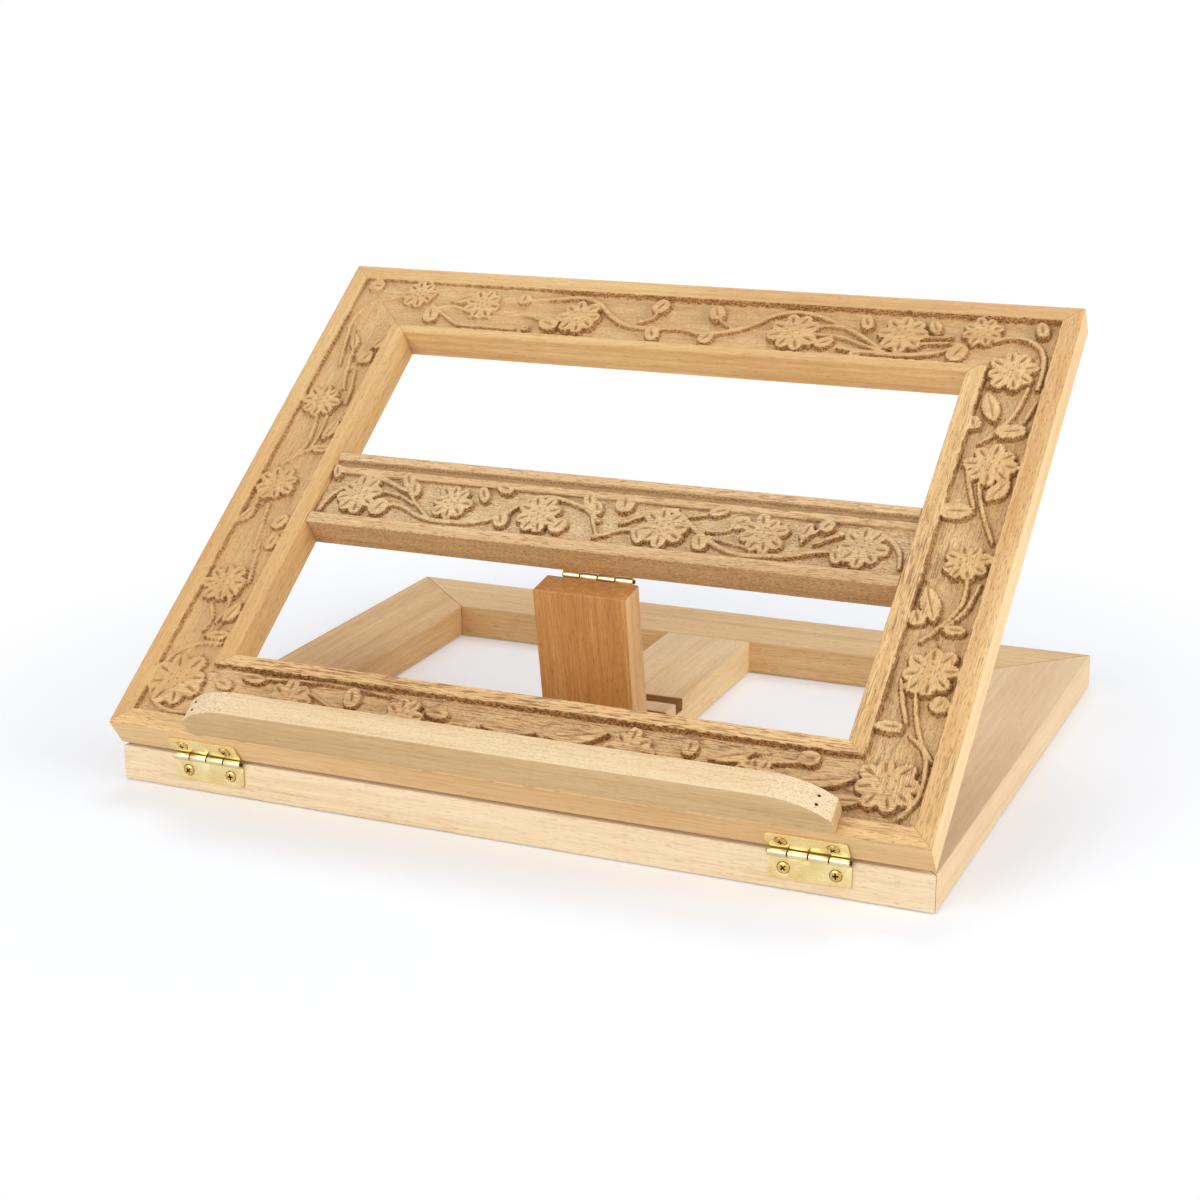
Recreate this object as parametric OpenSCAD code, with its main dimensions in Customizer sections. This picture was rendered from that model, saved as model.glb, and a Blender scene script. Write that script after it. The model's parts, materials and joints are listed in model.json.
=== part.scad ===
// Folding book stand: a mitred hardwood base, a carved book frame hinged to its
// front edge, and a strut that holds the frame up from a row of grooves.
// Units are millimetres. X is the width, Y runs from front to back and Z is up.
// The origin is the middle of the base's underside.

/* [Stand] */
// Width of the stand: the base and the book frame are equally wide
stand_w = 368; // [320:1:420]
// Depth of the base and length of the book frame, which covers it when folded
stand_d = 288; // [262:1:330]
// Angle of the open frame above the base, in degrees
tilt = 35.4; // [33:0.1:37]
// Gap between the frame and the base when the stand is folded
fold_gap = 0.3; // [0.2:0.1:1]

/* [Boards] */
// Thickness of every board
board_t = 16; // [14:0.5:20]
// Width of the mitred rails and stiles
rail_w = 44; // [38:1:50]
// Width of the rail that crosses the middle of the book frame
middle_w = 44; // [38:1:50]
// Width of the grooved plank down the middle of the base
plank_w = 44; // [36:1:60]

/* [Carved field] */
// Flat band along the outer edge of each rail
outer_band = 9; // [7:0.5:12]
// Flat band along the inner edge of each rail
inner_band = 8; // [6:0.5:10]
// Depth of the sunk field between the bands
field_depth = 2.8; // [1:0.1:4]
// Width of the cove where the field rises to the outer band
cove_w = 9; // [5:0.5:14]
// Flat band along the lower edge of the middle rail
middle_band = 7.5; // [5:0.5:10]
// Width of the rounded bead along the top of the middle rail
bead_w = 6; // [4:0.5:8]
// Width of the quirk, the narrow channel beside the bead
bead_quirk = 2.5; // [1:0.5:3]
// Width of the fillet, the narrow step beside the quirk
bead_fillet = 3.5; // [2:0.5:4]

/* [Book ledge] */
// Distance of the ledge's ends from the frame's sides, on average
ledge_margin = 39.5; // [20:0.5:60]
// Thickness of the ledge
ledge_t = 11; // [8:0.5:14]
// Height of the ledge above the carved face
ledge_h = 20; // [14:0.5:26]
// Distance of the ledge's middle from the frame's middle
ledge_x = 2; // [-8:0.5:8]
// Height of the square part of each end
ledge_end_h = 8.5; // [6:0.5:12]
// Length of the curve at each end
ledge_curve_l = 25; // [20:1:40]

/* [Strut and grooves] */
// Width of the strut
strut_w = 44; // [30:1:60]
// Lean of the open strut from upright, its foot to the rear, in degrees
strut_lean = 9.2; // [6:0.1:12]
// Gap at the foot when the strut is folded into the frame
stow_gap = 1; // [0.6:0.1:3]
// Gap between the strut's hinged end and the middle rail
strut_end_gap = 0.4; // [0.3:0.1:1]
// Thickness of the strut's foot at its tip
foot_t = 2.5; // [1.5:0.1:2.8]
// Length of the slanted cut in front of the foot
foot_cut_l = 18.5; // [17.5:0.5:22]
// Clearance round the foot in its groove
foot_gap = 0.3; // [0.2:0.05:0.5]
// Width of each groove
groove_w = 9; // [8.8:0.1:11]
// Depth of each groove
groove_depth = 6; // [4.5:0.5:6]
// Number of grooves
groove_count = 3; // [1:1:5]
// Distance from one groove to the next
groove_pitch = 20.75; // [16:0.25:24]

/* [Hinges] */
// Length of each hinge along its pin
hinge_l = 34; // [28:1:40]
// Reach of each leaf from the pin's axis
leaf_reach = 11.2; // [10.2:0.1:12.5]
// Thickness of the leaves
leaf_t = 1; // [0.8:0.1:1.2]
// Corner radius of the leaves
leaf_corner_r = 1.8; // [0.5:0.1:2.5]
// Outer diameter of the knuckles
knuckle_d = 3.5; // [3.3:0.1:3.7]
// Number of knuckles on a hinge, shared by its two leaves
knuckle_count = 4; // [4:2:8]
// Diameter of the hinge pins
hinge_pin_d = 1.7; // [1.3:0.1:1.9]
// Distance of the pin's axis from the wood that the leaves lie on
axis_offset = 2; // [1.95:0.05:2.4]
// Distance of the left front hinge's middle from the stand's left side
left_hinge_in = 45; // [30:1:60]
// Distance of the right front hinge's middle from the stand's right side
right_hinge_in = 50; // [30:1:60]
// Distance of the strut hinge's middle from the strut's middle
strut_hinge_x = 2; // [-4:0.5:4]

/* [Fasteners] */
// Distance between the two screws of a leaf
screw_spacing = 21.3; // [16:0.1:23]
// Distance of the screws from the pin's axis
screw_reach = 6.6; // [6:0.1:7]
// Diameter of a screw's head
screw_head_d = 5; // [4.2:0.1:5.4]
// Diameter of a screw's shank
screw_d = 2.4; // [2:0.1:2.8]
// Length of a screw
screw_l = 10; // [7:0.5:11]
// Diameter of the dowels
dowel_d = 6; // [4:0.5:7]
// Length of the dowels
dowel_l = 18; // [14:1:22]
// Diameter of the brads in the ledge
brad_d = 1.4; // [1:0.1:2]
// Length of the brads
brad_l = 20; // [16:1:22]
// Distance between the two brads at each end of the ledge
brad_spacing = 4; // [3:0.5:6]

/* [Hidden] */
running_fit = 0.05;       // radial clearance of a pin in a knuckle
drilled_fit = 0.05;       // radial clearance of dowels, brads and screws in their holes
bore_end_gap = 0.5;       // free depth past each end of a dowel
knuckle_gap = 0.15;       // gap between neighbouring knuckles
leaf_clear = 0.25;        // gap between a leaf's edge and the other leaf's knuckles
pin_stand = 0.4;          // how far a hinge pin stands out at each end
recess_w = 0.8;           // width of the cross recess in a screw's head
recess_l = 2.9;           // length of each arm of the cross
recess_depth = 0.9;       // depth of the cross
fillet_drop = 1;          // how far the fillet lies below the bands
brad_inset = 6;           // distance of the brads from the ledge's ends
brad_set = 0.3;           // depth of the brads' heads below the surface
dowel_seats = [0.36, 0.68]; // places of the dowels across a joint, as shares of its width
cut = 1;                  // how far a cutting shape runs past the face it opens
cove_steps = 6;           // facets of the cove
round_fn = 48;            // segments of small round parts
curve_steps = 12;         // flats along the curve at each end of the ledge

pale_wood = [0.88, 0.74, 0.53];
tan_wood = [0.84, 0.67, 0.44];
brown_wood = [0.72, 0.48, 0.27];
dowel_wood = [0.90, 0.80, 0.62];
polished_brass = [0.90, 0.78, 0.42];
nail_steel = [0.62, 0.60, 0.56];

// The fold axis lies in front of the front edges, half way up the fold gap.
axis_y = -stand_d / 2 - axis_offset;
axis_z = board_t + fold_gap / 2;
groove_floor = board_t - groove_depth;

// The open strut's foot stands on a groove's floor, and the folded strut fills the
// opening between the bottom rail and the middle rail. The strut's reach, from its
// pin to its tip, is the one that does both, and the middle rail follows from it.
strut_turn = strut_lean + 90 - tilt;
pin_drop = (axis_offset - fold_gap / 2) * cos(tilt);
foot_rise = axis_z - pin_drop - groove_floor - foot_gap - axis_offset * sin(strut_lean);
strut_reach = ((rail_w + stow_gap + axis_offset) * sin(tilt) + foot_rise)
    / (cos(strut_lean) - sin(tilt));
strut_pin_v = rail_w + stow_gap + strut_reach;
strut_end_v = strut_pin_v - strut_end_gap / 2;
middle_v = strut_pin_v + strut_end_gap / 2;

// The first groove stands under the open strut's foot.
pin_y = axis_y + (strut_pin_v + axis_offset) * cos(tilt) + (axis_offset - fold_gap / 2) * sin(tilt);
tip_y = pin_y + strut_reach * sin(strut_lean) - axis_offset * cos(strut_lean);
first_groove_y = tip_y + foot_gap - groove_w;

plank_l = stand_d - 2 * rail_w;
opening_w = stand_w - 2 * rail_w;
ledge_l = stand_w - 2 * ledge_margin;
left_hinge_x = -stand_w / 2 + left_hinge_in;
right_hinge_x = stand_w / 2 - right_hinge_in;
frame_dowel_w = (board_t - field_depth) / 2;
screw_head_h = (screw_head_d - screw_d) / 2;
knuckle_l = hinge_l / knuckle_count;
curve_drop = ledge_h - ledge_end_h;
curve_r = (ledge_curve_l * ledge_curve_l + curve_drop * curve_drop) / (2 * curve_drop);
brad_run = ledge_curve_l - brad_inset;
brad_top = board_t + ledge_h - curve_r + sqrt(curve_r * curve_r - brad_run * brad_run) - brad_set;

// ---- Places ----

// The book frame's own space: X across, Y up the slope from its front edge, and Z
// from its back face (0) to its carved face (board_t).
module on_frame() {
    translate([0, axis_y, axis_z]) rotate([tilt, 0, 0])
        translate([0, axis_offset, fold_gap / 2]) children();
}

// The strut's space is the frame's, with the strut folded, turned about its pin.
module on_strut() {
    on_frame() translate([0, strut_pin_v, -axis_offset]) rotate([strut_turn, 0, 0])
        translate([0, -strut_pin_v, axis_offset]) children();
}

// One side of the stand's rectangle: 0 front, 1 right, 2 rear, 3 left.
module on_side(side) {
    rotate([0, 0, 90 * side]) translate([0, -(side % 2 == 0 ? stand_d : stand_w) / 2, 0])
        children();
}

module front_hinge(x) {
    translate([x, axis_y, axis_z]) children();
}

module frame_hinge(x) {
    translate([x, -axis_offset, -fold_gap / 2]) children();
}

module strut_hinge() {
    translate([strut_hinge_x, strut_pin_v, -axis_offset]) rotate([90, 0, 0]) children();
}

// ---- Boards ----

module mitred_outline(length) {
    polygon([[-length / 2, 0], [length / 2, 0],
        [length / 2 - rail_w, rail_w], [-length / 2 + rail_w, rail_w]]);
}

module base_board(length) {
    linear_extrude(board_t) mitred_outline(length);
}

// Section of a frame board, from its outer edge (0) to its inner edge (rail_w).
module frame_section() {
    polygon(concat(
        [[0, 0], [rail_w, 0], [rail_w, board_t], [rail_w - inner_band, board_t],
            [rail_w - inner_band, board_t - field_depth]],
        [for (i = [cove_steps : -1 : 0])
            [outer_band + cove_w * i / cove_steps,
                board_t - field_depth * (1 - cos(180 * i / cove_steps)) / 2]],
        [[0, board_t]]));
}

// Section of the middle rail, from its lower edge (0) to its upper edge.
module middle_section() {
    bead_r = bead_w / 2;
    step_u = middle_w - bead_w - bead_quirk - bead_fillet;
    square([middle_w, board_t - bead_r]);
    square([middle_w - bead_r, board_t - field_depth]);
    square([middle_band, board_t]);
    translate([step_u, 0]) square([bead_fillet, board_t - fillet_drop]);
    translate([middle_w - bead_r, board_t - bead_r]) circle(bead_r, $fn = round_fn);
}

module along_x(length) {
    rotate([90, 0, 90]) linear_extrude(length, center = true) children();
}

module frame_board(length) {
    intersection() {
        along_x(length + cut) frame_section();
        translate([0, 0, -cut]) linear_extrude(board_t + 2 * cut) mitred_outline(length);
    }
}

module frame_side(side) {
    translate([0, stand_d / 2, 0]) on_side(side) frame_board(side % 2 == 0 ? stand_w : stand_d);
}

// ---- Dowels and brads ----

// A dowel along Z. A hole for it has a fit round it and free depth at its ends.
module dowel(fit = 0) {
    end_gap = fit > 0 ? bore_end_gap : 0;
    cylinder(h = dowel_l + 2 * end_gap, d = dowel_d + 2 * fit, center = true, $fn = round_fn);
}

// Two dowels square across each mitre of the stand's rectangle.
module corner_dowels(z, fit = 0) {
    for (sx = [-1, 1], sy = [-1, 1], seat = dowel_seats)
        translate([sx * (stand_w / 2 - seat * rail_w), sy * (stand_d / 2 - seat * rail_w), z])
            rotate([0, 90, -sx * sy * 45]) dowel(fit);
}

module base_corner_set(fit = 0) {
    corner_dowels(board_t / 2, fit);
}

module frame_corner_set(fit = 0) {
    translate([0, stand_d / 2, 0]) corner_dowels(frame_dowel_w, fit);
}

module plank_set(fit = 0) {
    for (sx = [-1, 1], sy = [-1, 1])
        translate([sx * plank_w / 4, sy * plank_l / 2, board_t / 2])
            rotate([90, 0, 0]) dowel(fit);
}

module middle_set(fit = 0) {
    for (sx = [-1, 1], seat = dowel_seats)
        translate([sx * opening_w / 2, middle_v + seat * middle_w, frame_dowel_w])
            rotate([0, 90, 0]) dowel(fit);
}

module ledge_dowel_set(fit = 0) {
    for (sx = [-1, 1])
        translate([ledge_x + sx * ledge_l / 4, ledge_t / 2, board_t]) dowel(fit);
}

module ledge_brad_set(fit = 0) {
    for (sx = [-1, 1], sv = [-1, 1])
        translate([ledge_x + sx * (ledge_l / 2 - brad_inset),
                (ledge_t + sv * brad_spacing) / 2, brad_top - brad_l - fit])
            cylinder(h = brad_l + (fit > 0 ? ledge_h : 0), d = brad_d + 2 * fit, $fn = round_fn);
}

// ---- Hinges and their screws ----

// A countersunk screw along Z, from its head's face at 0. With a fit it is the hole.
module screw_shape(fit = 0) {
    tip_h = screw_d;
    cylinder(h = screw_head_h, d1 = screw_head_d + 2 * fit, d2 = screw_d + 2 * fit, $fn = round_fn);
    cylinder(h = screw_l - tip_h, d = screw_d + 2 * fit, $fn = round_fn);
    translate([0, 0, screw_l - tip_h])
        cylinder(h = tip_h, d1 = screw_d + 2 * fit, d2 = screw_d / 4 + 2 * fit, $fn = round_fn);
    if (fit > 0)
        translate([0, 0, -cut]) cylinder(h = cut, d = screw_head_d + 2 * fit, $fn = round_fn);
}

module cross_screw() {
    difference() {
        screw_shape();
        for (turn = [0, 90])
            rotate([0, 0, turn])
                translate([-recess_l / 2, -recess_w / 2, -cut])
                    cube([recess_l, recess_w, cut + recess_depth]);
    }
}

// A hinge's own space: the pin along X, the wood's face at Y = axis_offset. The base
// and rail leaves hang down (-1), and the frame and strut leaves stand up (1).
module screw_seats(side) {
    for (sx = [-1, 1])
        translate([sx * screw_spacing / 2, axis_offset - leaf_t, side * screw_reach])
            rotate([-90, 0, 0]) children();
}

module leaf_outline(side) {
    edge = knuckle_d / 2 + leaf_clear;
    first = side < 0 ? 0 : 1;
    mirror([0, side < 0 ? 1 : 0]) {
        translate([-hinge_l / 2, edge]) square([hinge_l, leaf_reach - leaf_corner_r - edge]);
        translate([-hinge_l / 2 + leaf_corner_r, edge])
            square([hinge_l - 2 * leaf_corner_r, leaf_reach - edge]);
        for (sx = [-1, 1])
            translate([sx * (hinge_l / 2 - leaf_corner_r), leaf_reach - leaf_corner_r])
                circle(leaf_corner_r, $fn = round_fn);
        for (k = [first : 2 : knuckle_count - 1])
            translate([-hinge_l / 2 + k * knuckle_l + knuckle_gap / 2, 0])
                square([knuckle_l - knuckle_gap, edge + cut]);
    }
}

module leaf(side) {
    first = side < 0 ? 0 : 1;
    color(polished_brass) difference() {
        union() {
            translate([0, axis_offset, 0]) rotate([90, 0, 0])
                linear_extrude(leaf_t) leaf_outline(side);
            for (k = [first : 2 : knuckle_count - 1])
                translate([-hinge_l / 2 + k * knuckle_l + knuckle_gap / 2, 0, 0])
                    rotate([0, 90, 0])
                        cylinder(h = knuckle_l - knuckle_gap, d = knuckle_d, $fn = round_fn);
        }
        rotate([0, 90, 0]) cylinder(h = hinge_l + 2 * cut, d = hinge_pin_d + 2 * running_fit,
            center = true, $fn = round_fn);
        screw_seats(side) screw_shape(drilled_fit);
    }
}

module hinge_pin() {
    color(polished_brass) rotate([0, 90, 0])
        cylinder(h = hinge_l + 2 * pin_stand, d = hinge_pin_d, center = true, $fn = round_fn);
}

module leaf_screws(side) {
    color(polished_brass) screw_seats(side) cross_screw();
}

// ---- Base ----

module base_front_rail() {
    color(pale_wood) difference() {
        on_side(0) base_board(stand_w);
        base_corner_set(drilled_fit);
        plank_set(drilled_fit);
        for (x = [left_hinge_x, right_hinge_x])
            front_hinge(x) screw_seats(-1) screw_shape(drilled_fit);
    }
}

module base_rear_rail() {
    color(pale_wood) difference() {
        on_side(2) base_board(stand_w);
        base_corner_set(drilled_fit);
        plank_set(drilled_fit);
    }
}

module base_side_rail(side) {
    color(pale_wood) difference() {
        on_side(side) base_board(stand_d);
        base_corner_set(drilled_fit);
    }
}

module base_left_rail() {
    base_side_rail(3);
}

module base_right_rail() {
    base_side_rail(1);
}

module base_centre_plank() {
    color(tan_wood) difference() {
        translate([-plank_w / 2, -plank_l / 2, 0]) cube([plank_w, plank_l, board_t]);
        for (i = [0 : groove_count - 1])
            translate([-plank_w / 2 - cut, first_groove_y + i * groove_pitch, groove_floor])
                cube([plank_w + 2 * cut, groove_w, groove_depth + cut]);
        plank_set(drilled_fit);
    }
}

module base_corner_dowels() {
    color(dowel_wood) base_corner_set();
}

module base_plank_dowels() {
    color(dowel_wood) plank_set();
}

module left_hinge_base_leaf() {
    front_hinge(left_hinge_x) leaf(-1);
}

module right_hinge_base_leaf() {
    front_hinge(right_hinge_x) leaf(-1);
}

module left_hinge_pin() {
    front_hinge(left_hinge_x) hinge_pin();
}

module right_hinge_pin() {
    front_hinge(right_hinge_x) hinge_pin();
}

module left_hinge_base_screws() {
    front_hinge(left_hinge_x) leaf_screws(-1);
}

module right_hinge_base_screws() {
    front_hinge(right_hinge_x) leaf_screws(-1);
}

// ---- Book frame ----

module frame_bottom_rail() {
    color(tan_wood) on_frame() difference() {
        frame_side(0);
        frame_corner_set(drilled_fit);
        ledge_dowel_set(drilled_fit);
        ledge_brad_set(drilled_fit);
        for (x = [left_hinge_x, right_hinge_x])
            frame_hinge(x) screw_seats(1) screw_shape(drilled_fit);
    }
}

module frame_top_rail() {
    color(tan_wood) on_frame() difference() {
        frame_side(2);
        frame_corner_set(drilled_fit);
    }
}

module frame_stile(side) {
    color(tan_wood) on_frame() difference() {
        frame_side(side);
        frame_corner_set(drilled_fit);
        middle_set(drilled_fit);
    }
}

module frame_left_stile() {
    frame_stile(3);
}

module frame_right_stile() {
    frame_stile(1);
}

module frame_middle_rail() {
    color(tan_wood) on_frame() difference() {
        translate([0, middle_v, 0]) along_x(opening_w) middle_section();
        middle_set(drilled_fit);
        strut_hinge() screw_seats(-1) screw_shape(drilled_fit);
    }
}

module frame_corner_dowels() {
    color(dowel_wood) on_frame() frame_corner_set();
}

module frame_middle_dowels() {
    color(dowel_wood) on_frame() middle_set();
}

// The ledge in elevation: square ends that curve over to a straight top.
module ledge_outline() {
    sweep = asin(ledge_curve_l / curve_r);
    end_curve = [for (i = [0 : curve_steps])
        let (turn = sweep * (1 - i / curve_steps))
            [ledge_l / 2 - ledge_curve_l + curve_r * sin(turn), ledge_h - curve_r * (1 - cos(turn))]];
    mirrored = [for (i = [curve_steps : -1 : 0]) [-end_curve[i][0], end_curve[i][1]]];
    polygon(concat([[ledge_l / 2, 0]], end_curve, mirrored, [[-ledge_l / 2, 0]]));
}

module book_ledge() {
    color(tan_wood) on_frame() difference() {
        translate([ledge_x, ledge_t, board_t]) rotate([90, 0, 0])
            linear_extrude(ledge_t) ledge_outline();
        ledge_dowel_set(drilled_fit);
        ledge_brad_set(drilled_fit);
    }
}

module ledge_dowels() {
    color(dowel_wood) on_frame() ledge_dowel_set();
}

module ledge_brads() {
    color(nail_steel) on_frame() ledge_brad_set();
}

module left_hinge_frame_leaf() {
    on_frame() frame_hinge(left_hinge_x) leaf(1);
}

module right_hinge_frame_leaf() {
    on_frame() frame_hinge(right_hinge_x) leaf(1);
}

module left_hinge_frame_screws() {
    on_frame() frame_hinge(left_hinge_x) leaf_screws(1);
}

module right_hinge_frame_screws() {
    on_frame() frame_hinge(right_hinge_x) leaf_screws(1);
}

module strut_hinge_rail_leaf() {
    on_frame() strut_hinge() leaf(-1);
}

module strut_hinge_pin() {
    on_frame() strut_hinge() hinge_pin();
}

module strut_hinge_rail_screws() {
    on_frame() strut_hinge() leaf_screws(-1);
}

// ---- Strut ----

// The strut from the side, folded: its back at 0, its foot cut level for the groove
// and slanted in front so that it enters and leaves the groove.
module strut_section() {
    tip_v = strut_pin_v - strut_reach;
    toe_v = tip_v + foot_t * sin(strut_lean);
    polygon([[strut_end_v, 0], [strut_end_v, board_t], [toe_v + foot_cut_l, board_t],
        [toe_v, foot_t * cos(strut_lean)], [tip_v, 0]]);
}

module strut_board() {
    color(brown_wood) on_strut() difference() {
        along_x(strut_w) strut_section();
        strut_hinge() screw_seats(1) screw_shape(drilled_fit);
    }
}

module strut_hinge_strut_leaf() {
    on_strut() strut_hinge() leaf(1);
}

module strut_hinge_strut_screws() {
    on_strut() strut_hinge() leaf_screws(1);
}

base_front_rail();
base_rear_rail();
base_left_rail();
base_right_rail();
base_centre_plank();
base_corner_dowels();
base_plank_dowels();
left_hinge_base_leaf();
right_hinge_base_leaf();
left_hinge_pin();
right_hinge_pin();
left_hinge_base_screws();
right_hinge_base_screws();
frame_bottom_rail();
frame_top_rail();
frame_left_stile();
frame_right_stile();
frame_middle_rail();
frame_corner_dowels();
frame_middle_dowels();
book_ledge();
ledge_dowels();
ledge_brads();
left_hinge_frame_leaf();
right_hinge_frame_leaf();
left_hinge_frame_screws();
right_hinge_frame_screws();
strut_hinge_rail_leaf();
strut_hinge_pin();
strut_hinge_rail_screws();
strut_board();
strut_hinge_strut_leaf();
strut_hinge_strut_screws();
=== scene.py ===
# Folding book stand: the looks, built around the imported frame.
import json
import math

import bpy
import numpy as np
from mathutils import Matrix, Vector


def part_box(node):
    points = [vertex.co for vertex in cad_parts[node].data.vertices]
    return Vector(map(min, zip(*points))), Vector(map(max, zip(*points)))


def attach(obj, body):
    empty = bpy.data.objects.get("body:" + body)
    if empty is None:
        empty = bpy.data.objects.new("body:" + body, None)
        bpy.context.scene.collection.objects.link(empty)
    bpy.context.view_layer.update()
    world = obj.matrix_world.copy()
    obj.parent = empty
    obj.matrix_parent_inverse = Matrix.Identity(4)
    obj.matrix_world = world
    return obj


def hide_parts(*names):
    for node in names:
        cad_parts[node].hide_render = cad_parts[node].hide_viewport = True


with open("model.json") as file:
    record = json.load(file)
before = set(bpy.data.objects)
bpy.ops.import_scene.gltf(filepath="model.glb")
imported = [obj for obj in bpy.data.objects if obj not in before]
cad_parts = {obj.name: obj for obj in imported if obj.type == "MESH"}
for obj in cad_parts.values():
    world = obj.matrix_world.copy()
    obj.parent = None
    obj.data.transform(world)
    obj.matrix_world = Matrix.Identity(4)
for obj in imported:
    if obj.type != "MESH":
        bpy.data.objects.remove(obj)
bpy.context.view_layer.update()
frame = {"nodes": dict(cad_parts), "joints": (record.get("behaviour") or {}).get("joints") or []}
print("frame loaded,", len(frame["nodes"]), "nodes")

mm = 0.001
touch = 0.01  # mm; closer than this is the same place
facing = 0.9  # a face looks a way when its normal lies this far along it

# Sizes are in millimetres and angles in degrees. The rest is read off the frame.
stand = {
    "tilt": 35.4,  # the open book frame above the base
    "strutLean": 9.2,  # the open strut from upright
    "boardThick": 16,
    "railWide": 44,
    "axisOut": 2,  # hinge pins stand this far off the wood
    "foldGap": 0.3,  # between frame and base when folded
    "middleGap": 0.2,  # half the gap above the strut's hinged end
}


def extent(node):
    low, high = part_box(node)
    return low / mm, high / mm


def jointPlace(name):
    return next(Vector(j["pos_m"]) for j in frame["joints"] if j["name"] == name)


railLow, railHigh = extent("base_front_rail")
stand["wide"] = railHigh.x - railLow.x
stand["deep"] = -2 * railLow.y

# Three spaces in millimetres. The book frame's is x across, v up its slope from the
# front edge, w from its back (0) to its carved face; the strut's is the same, folded.
baseSpace = Matrix.Scale(mm, 4)
frameSpace = (
    Matrix.Translation(jointPlace("frame_fold"))
    @ Matrix.Rotation(math.radians(stand["tilt"]), 4, "X")
    @ Matrix.Scale(mm, 4)
    @ Matrix.Translation((0, stand["axisOut"], stand["foldGap"] / 2))
)
strutPin = frameSpace.inverted() @ jointPlace("strut_swing")
strutTurn = stand["strutLean"] + 90 - stand["tilt"]
strutSpace = (
    frameSpace
    @ Matrix.Translation((0, strutPin.y, -stand["axisOut"]))
    @ Matrix.Rotation(math.radians(strutTurn), 4, "X")
    @ Matrix.Translation((0, -strutPin.y, stand["axisOut"]))
)


camera = {
    "place": (375.0, -903.3, 359.6),
    "aim": (-10.2, -26.8, 70.9),
    "roll": -0.43,
    "lens": 66.5,
    "film": 36,
    "shift": (0.009, -0.0018),
}
lamps = {
    # name: place and size in mm, power in watts
    "keyLamp": ((-560, -1700, 820), 1400, 18.2),
    "sideLamp": ((1600, -250, 620), 900, 14.0),
    "backLamp": ((-300, 900, 1700), 900, 6.9),
}
middleHeight = 80  # the lamps point here, above the origin


def clearSelection():
    if bpy.context.object and bpy.context.object.mode != "OBJECT":
        bpy.ops.object.mode_set(mode="OBJECT")
    bpy.ops.object.select_all(action="DESELECT")


def selectOnly(piece):
    clearSelection()
    bpy.context.view_layer.objects.active = piece
    piece.select_set(True)


def makeCamera():
    place, aim = Vector(camera["place"]) * mm, Vector(camera["aim"]) * mm
    bpy.ops.object.camera_add(location=place)
    eye = bpy.context.object
    eye.name = "photoCamera"
    turn = (aim - place).to_track_quat("-Z", "Y").to_matrix().to_4x4()
    roll = Matrix.Rotation(math.radians(camera["roll"]), 4, "Z")
    eye.matrix_world = Matrix.Translation(place) @ turn @ roll
    eye.data.sensor_width = camera["film"]
    eye.data.lens = camera["lens"]
    eye.data.shift_x, eye.data.shift_y = camera["shift"]
    bpy.context.scene.camera = eye


def makeLamps():
    middle = Vector((0, 0, middleHeight * mm))
    for name, (place, size, power) in lamps.items():
        spot = Vector(place) * mm
        bpy.ops.object.light_add(type="AREA", location=spot)
        lamp = bpy.context.object
        lamp.name = name
        lamp.rotation_euler = (middle - spot).to_track_quat("-Z", "Y").to_euler()
        lamp.data.size = size * mm
        lamp.data.energy = power


# sRGB hex to linear RGBA
def tone(hexColour):
    parts = [int(hexColour[i : i + 2], 16) / 255 for i in (1, 3, 5)]
    linear = [p / 12.92 if p <= 0.04045 else ((p + 0.055) / 1.055) ** 2.4 for p in parts]
    return (*linear, 1)


# Adds a node; inputs maps its sockets to values or to other sockets, stops fills a ramp.
def addNode(tree, kind, inputs=None, stops=None, **settings):
    node = tree.nodes.new(kind)
    for name, value in settings.items():
        setattr(node, name, value)
    for i, (place, hexColour) in enumerate(stops or []):
        steps = node.color_ramp.elements
        step = steps[i] if i < 2 else steps.new(place)
        step.position = place
        step.color = tone(hexColour)
    for socket, value in (inputs or {}).items():
        if isinstance(value, bpy.types.NodeSocket):
            tree.links.new(value, node.inputs[socket])
        else:
            node.inputs[socket].default_value = value
    return node


def newMaterial(name):
    material = bpy.data.materials.new(name)
    material.use_nodes = True
    material.node_tree.nodes.clear()
    return material, material.node_tree


# Light hardwood, planed, sanded and waxed: straight grain, short dark pores and a soft
# sheen. Pores are drawn about twice as wide as real ones, or they wouldn't show.
woodBase = {
    "tones": ("#ECCB9B", "#DDB684", "#C59763"),  # pale, middle and deep
    "toneAt": (0.36, 0.50, 0.66),  # where the grain's noise shows them
    "figureShare": 0.5,  # the figure against the slow drift of tone
    "fibreShare": 0.35,  # single fibres against both
    "poreColour": "#8A5A29",
    "poreShare": 0.45,
    "poreFrom": 0.60,  # lower for denser pores
    "poreRim": 0.1,
    "rough": 0.56,
    "roughSpread": (-0.06, 0.08),  # between the softest and the hardest fibres
    "fibreRange": (0.3, 0.7),  # the fibres' noise lies mostly in here
    "bump": 0.3,
    "grooveDeep": 0.3,  # mm
    "poreGroove": 0.5,  # pores against fibres in the grooves
    "turn": (0, 0, 0),
    "shift": (0, 0, 0),  # mm, so that no two boards share a figure
    "streak": 0.0,  # strength of dark heartwood streaks, where heart is painted
    "streakColour": "#7F4F22",
    "streakRange": (0.50, 0.60),
    "grit": 0.0,  # dark torn fibres, where rough is painted
    "gritColour": "#94622F",
    "gritRange": (0.50, 0.64),
    "fuzz": 0.0,  # pale torn fibres and dust, where rough is painted
    "fuzzColour": "#FBEBD0",
    "fuzzRange": (0.44, 0.68),
    "carved": False,
    "burntAndShadedBrown": "#683F15",  # walls scorched by the cutter, with painted shade in the same browns on walls facing the reader, in slits, dots and the quirk
    "burntAndShadedTan": "#C09053",
    "burntRange": (0.42, 0.55),
    "tornBump": 0.7,
    "tornDeep": 0.6,  # mm
}
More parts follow.
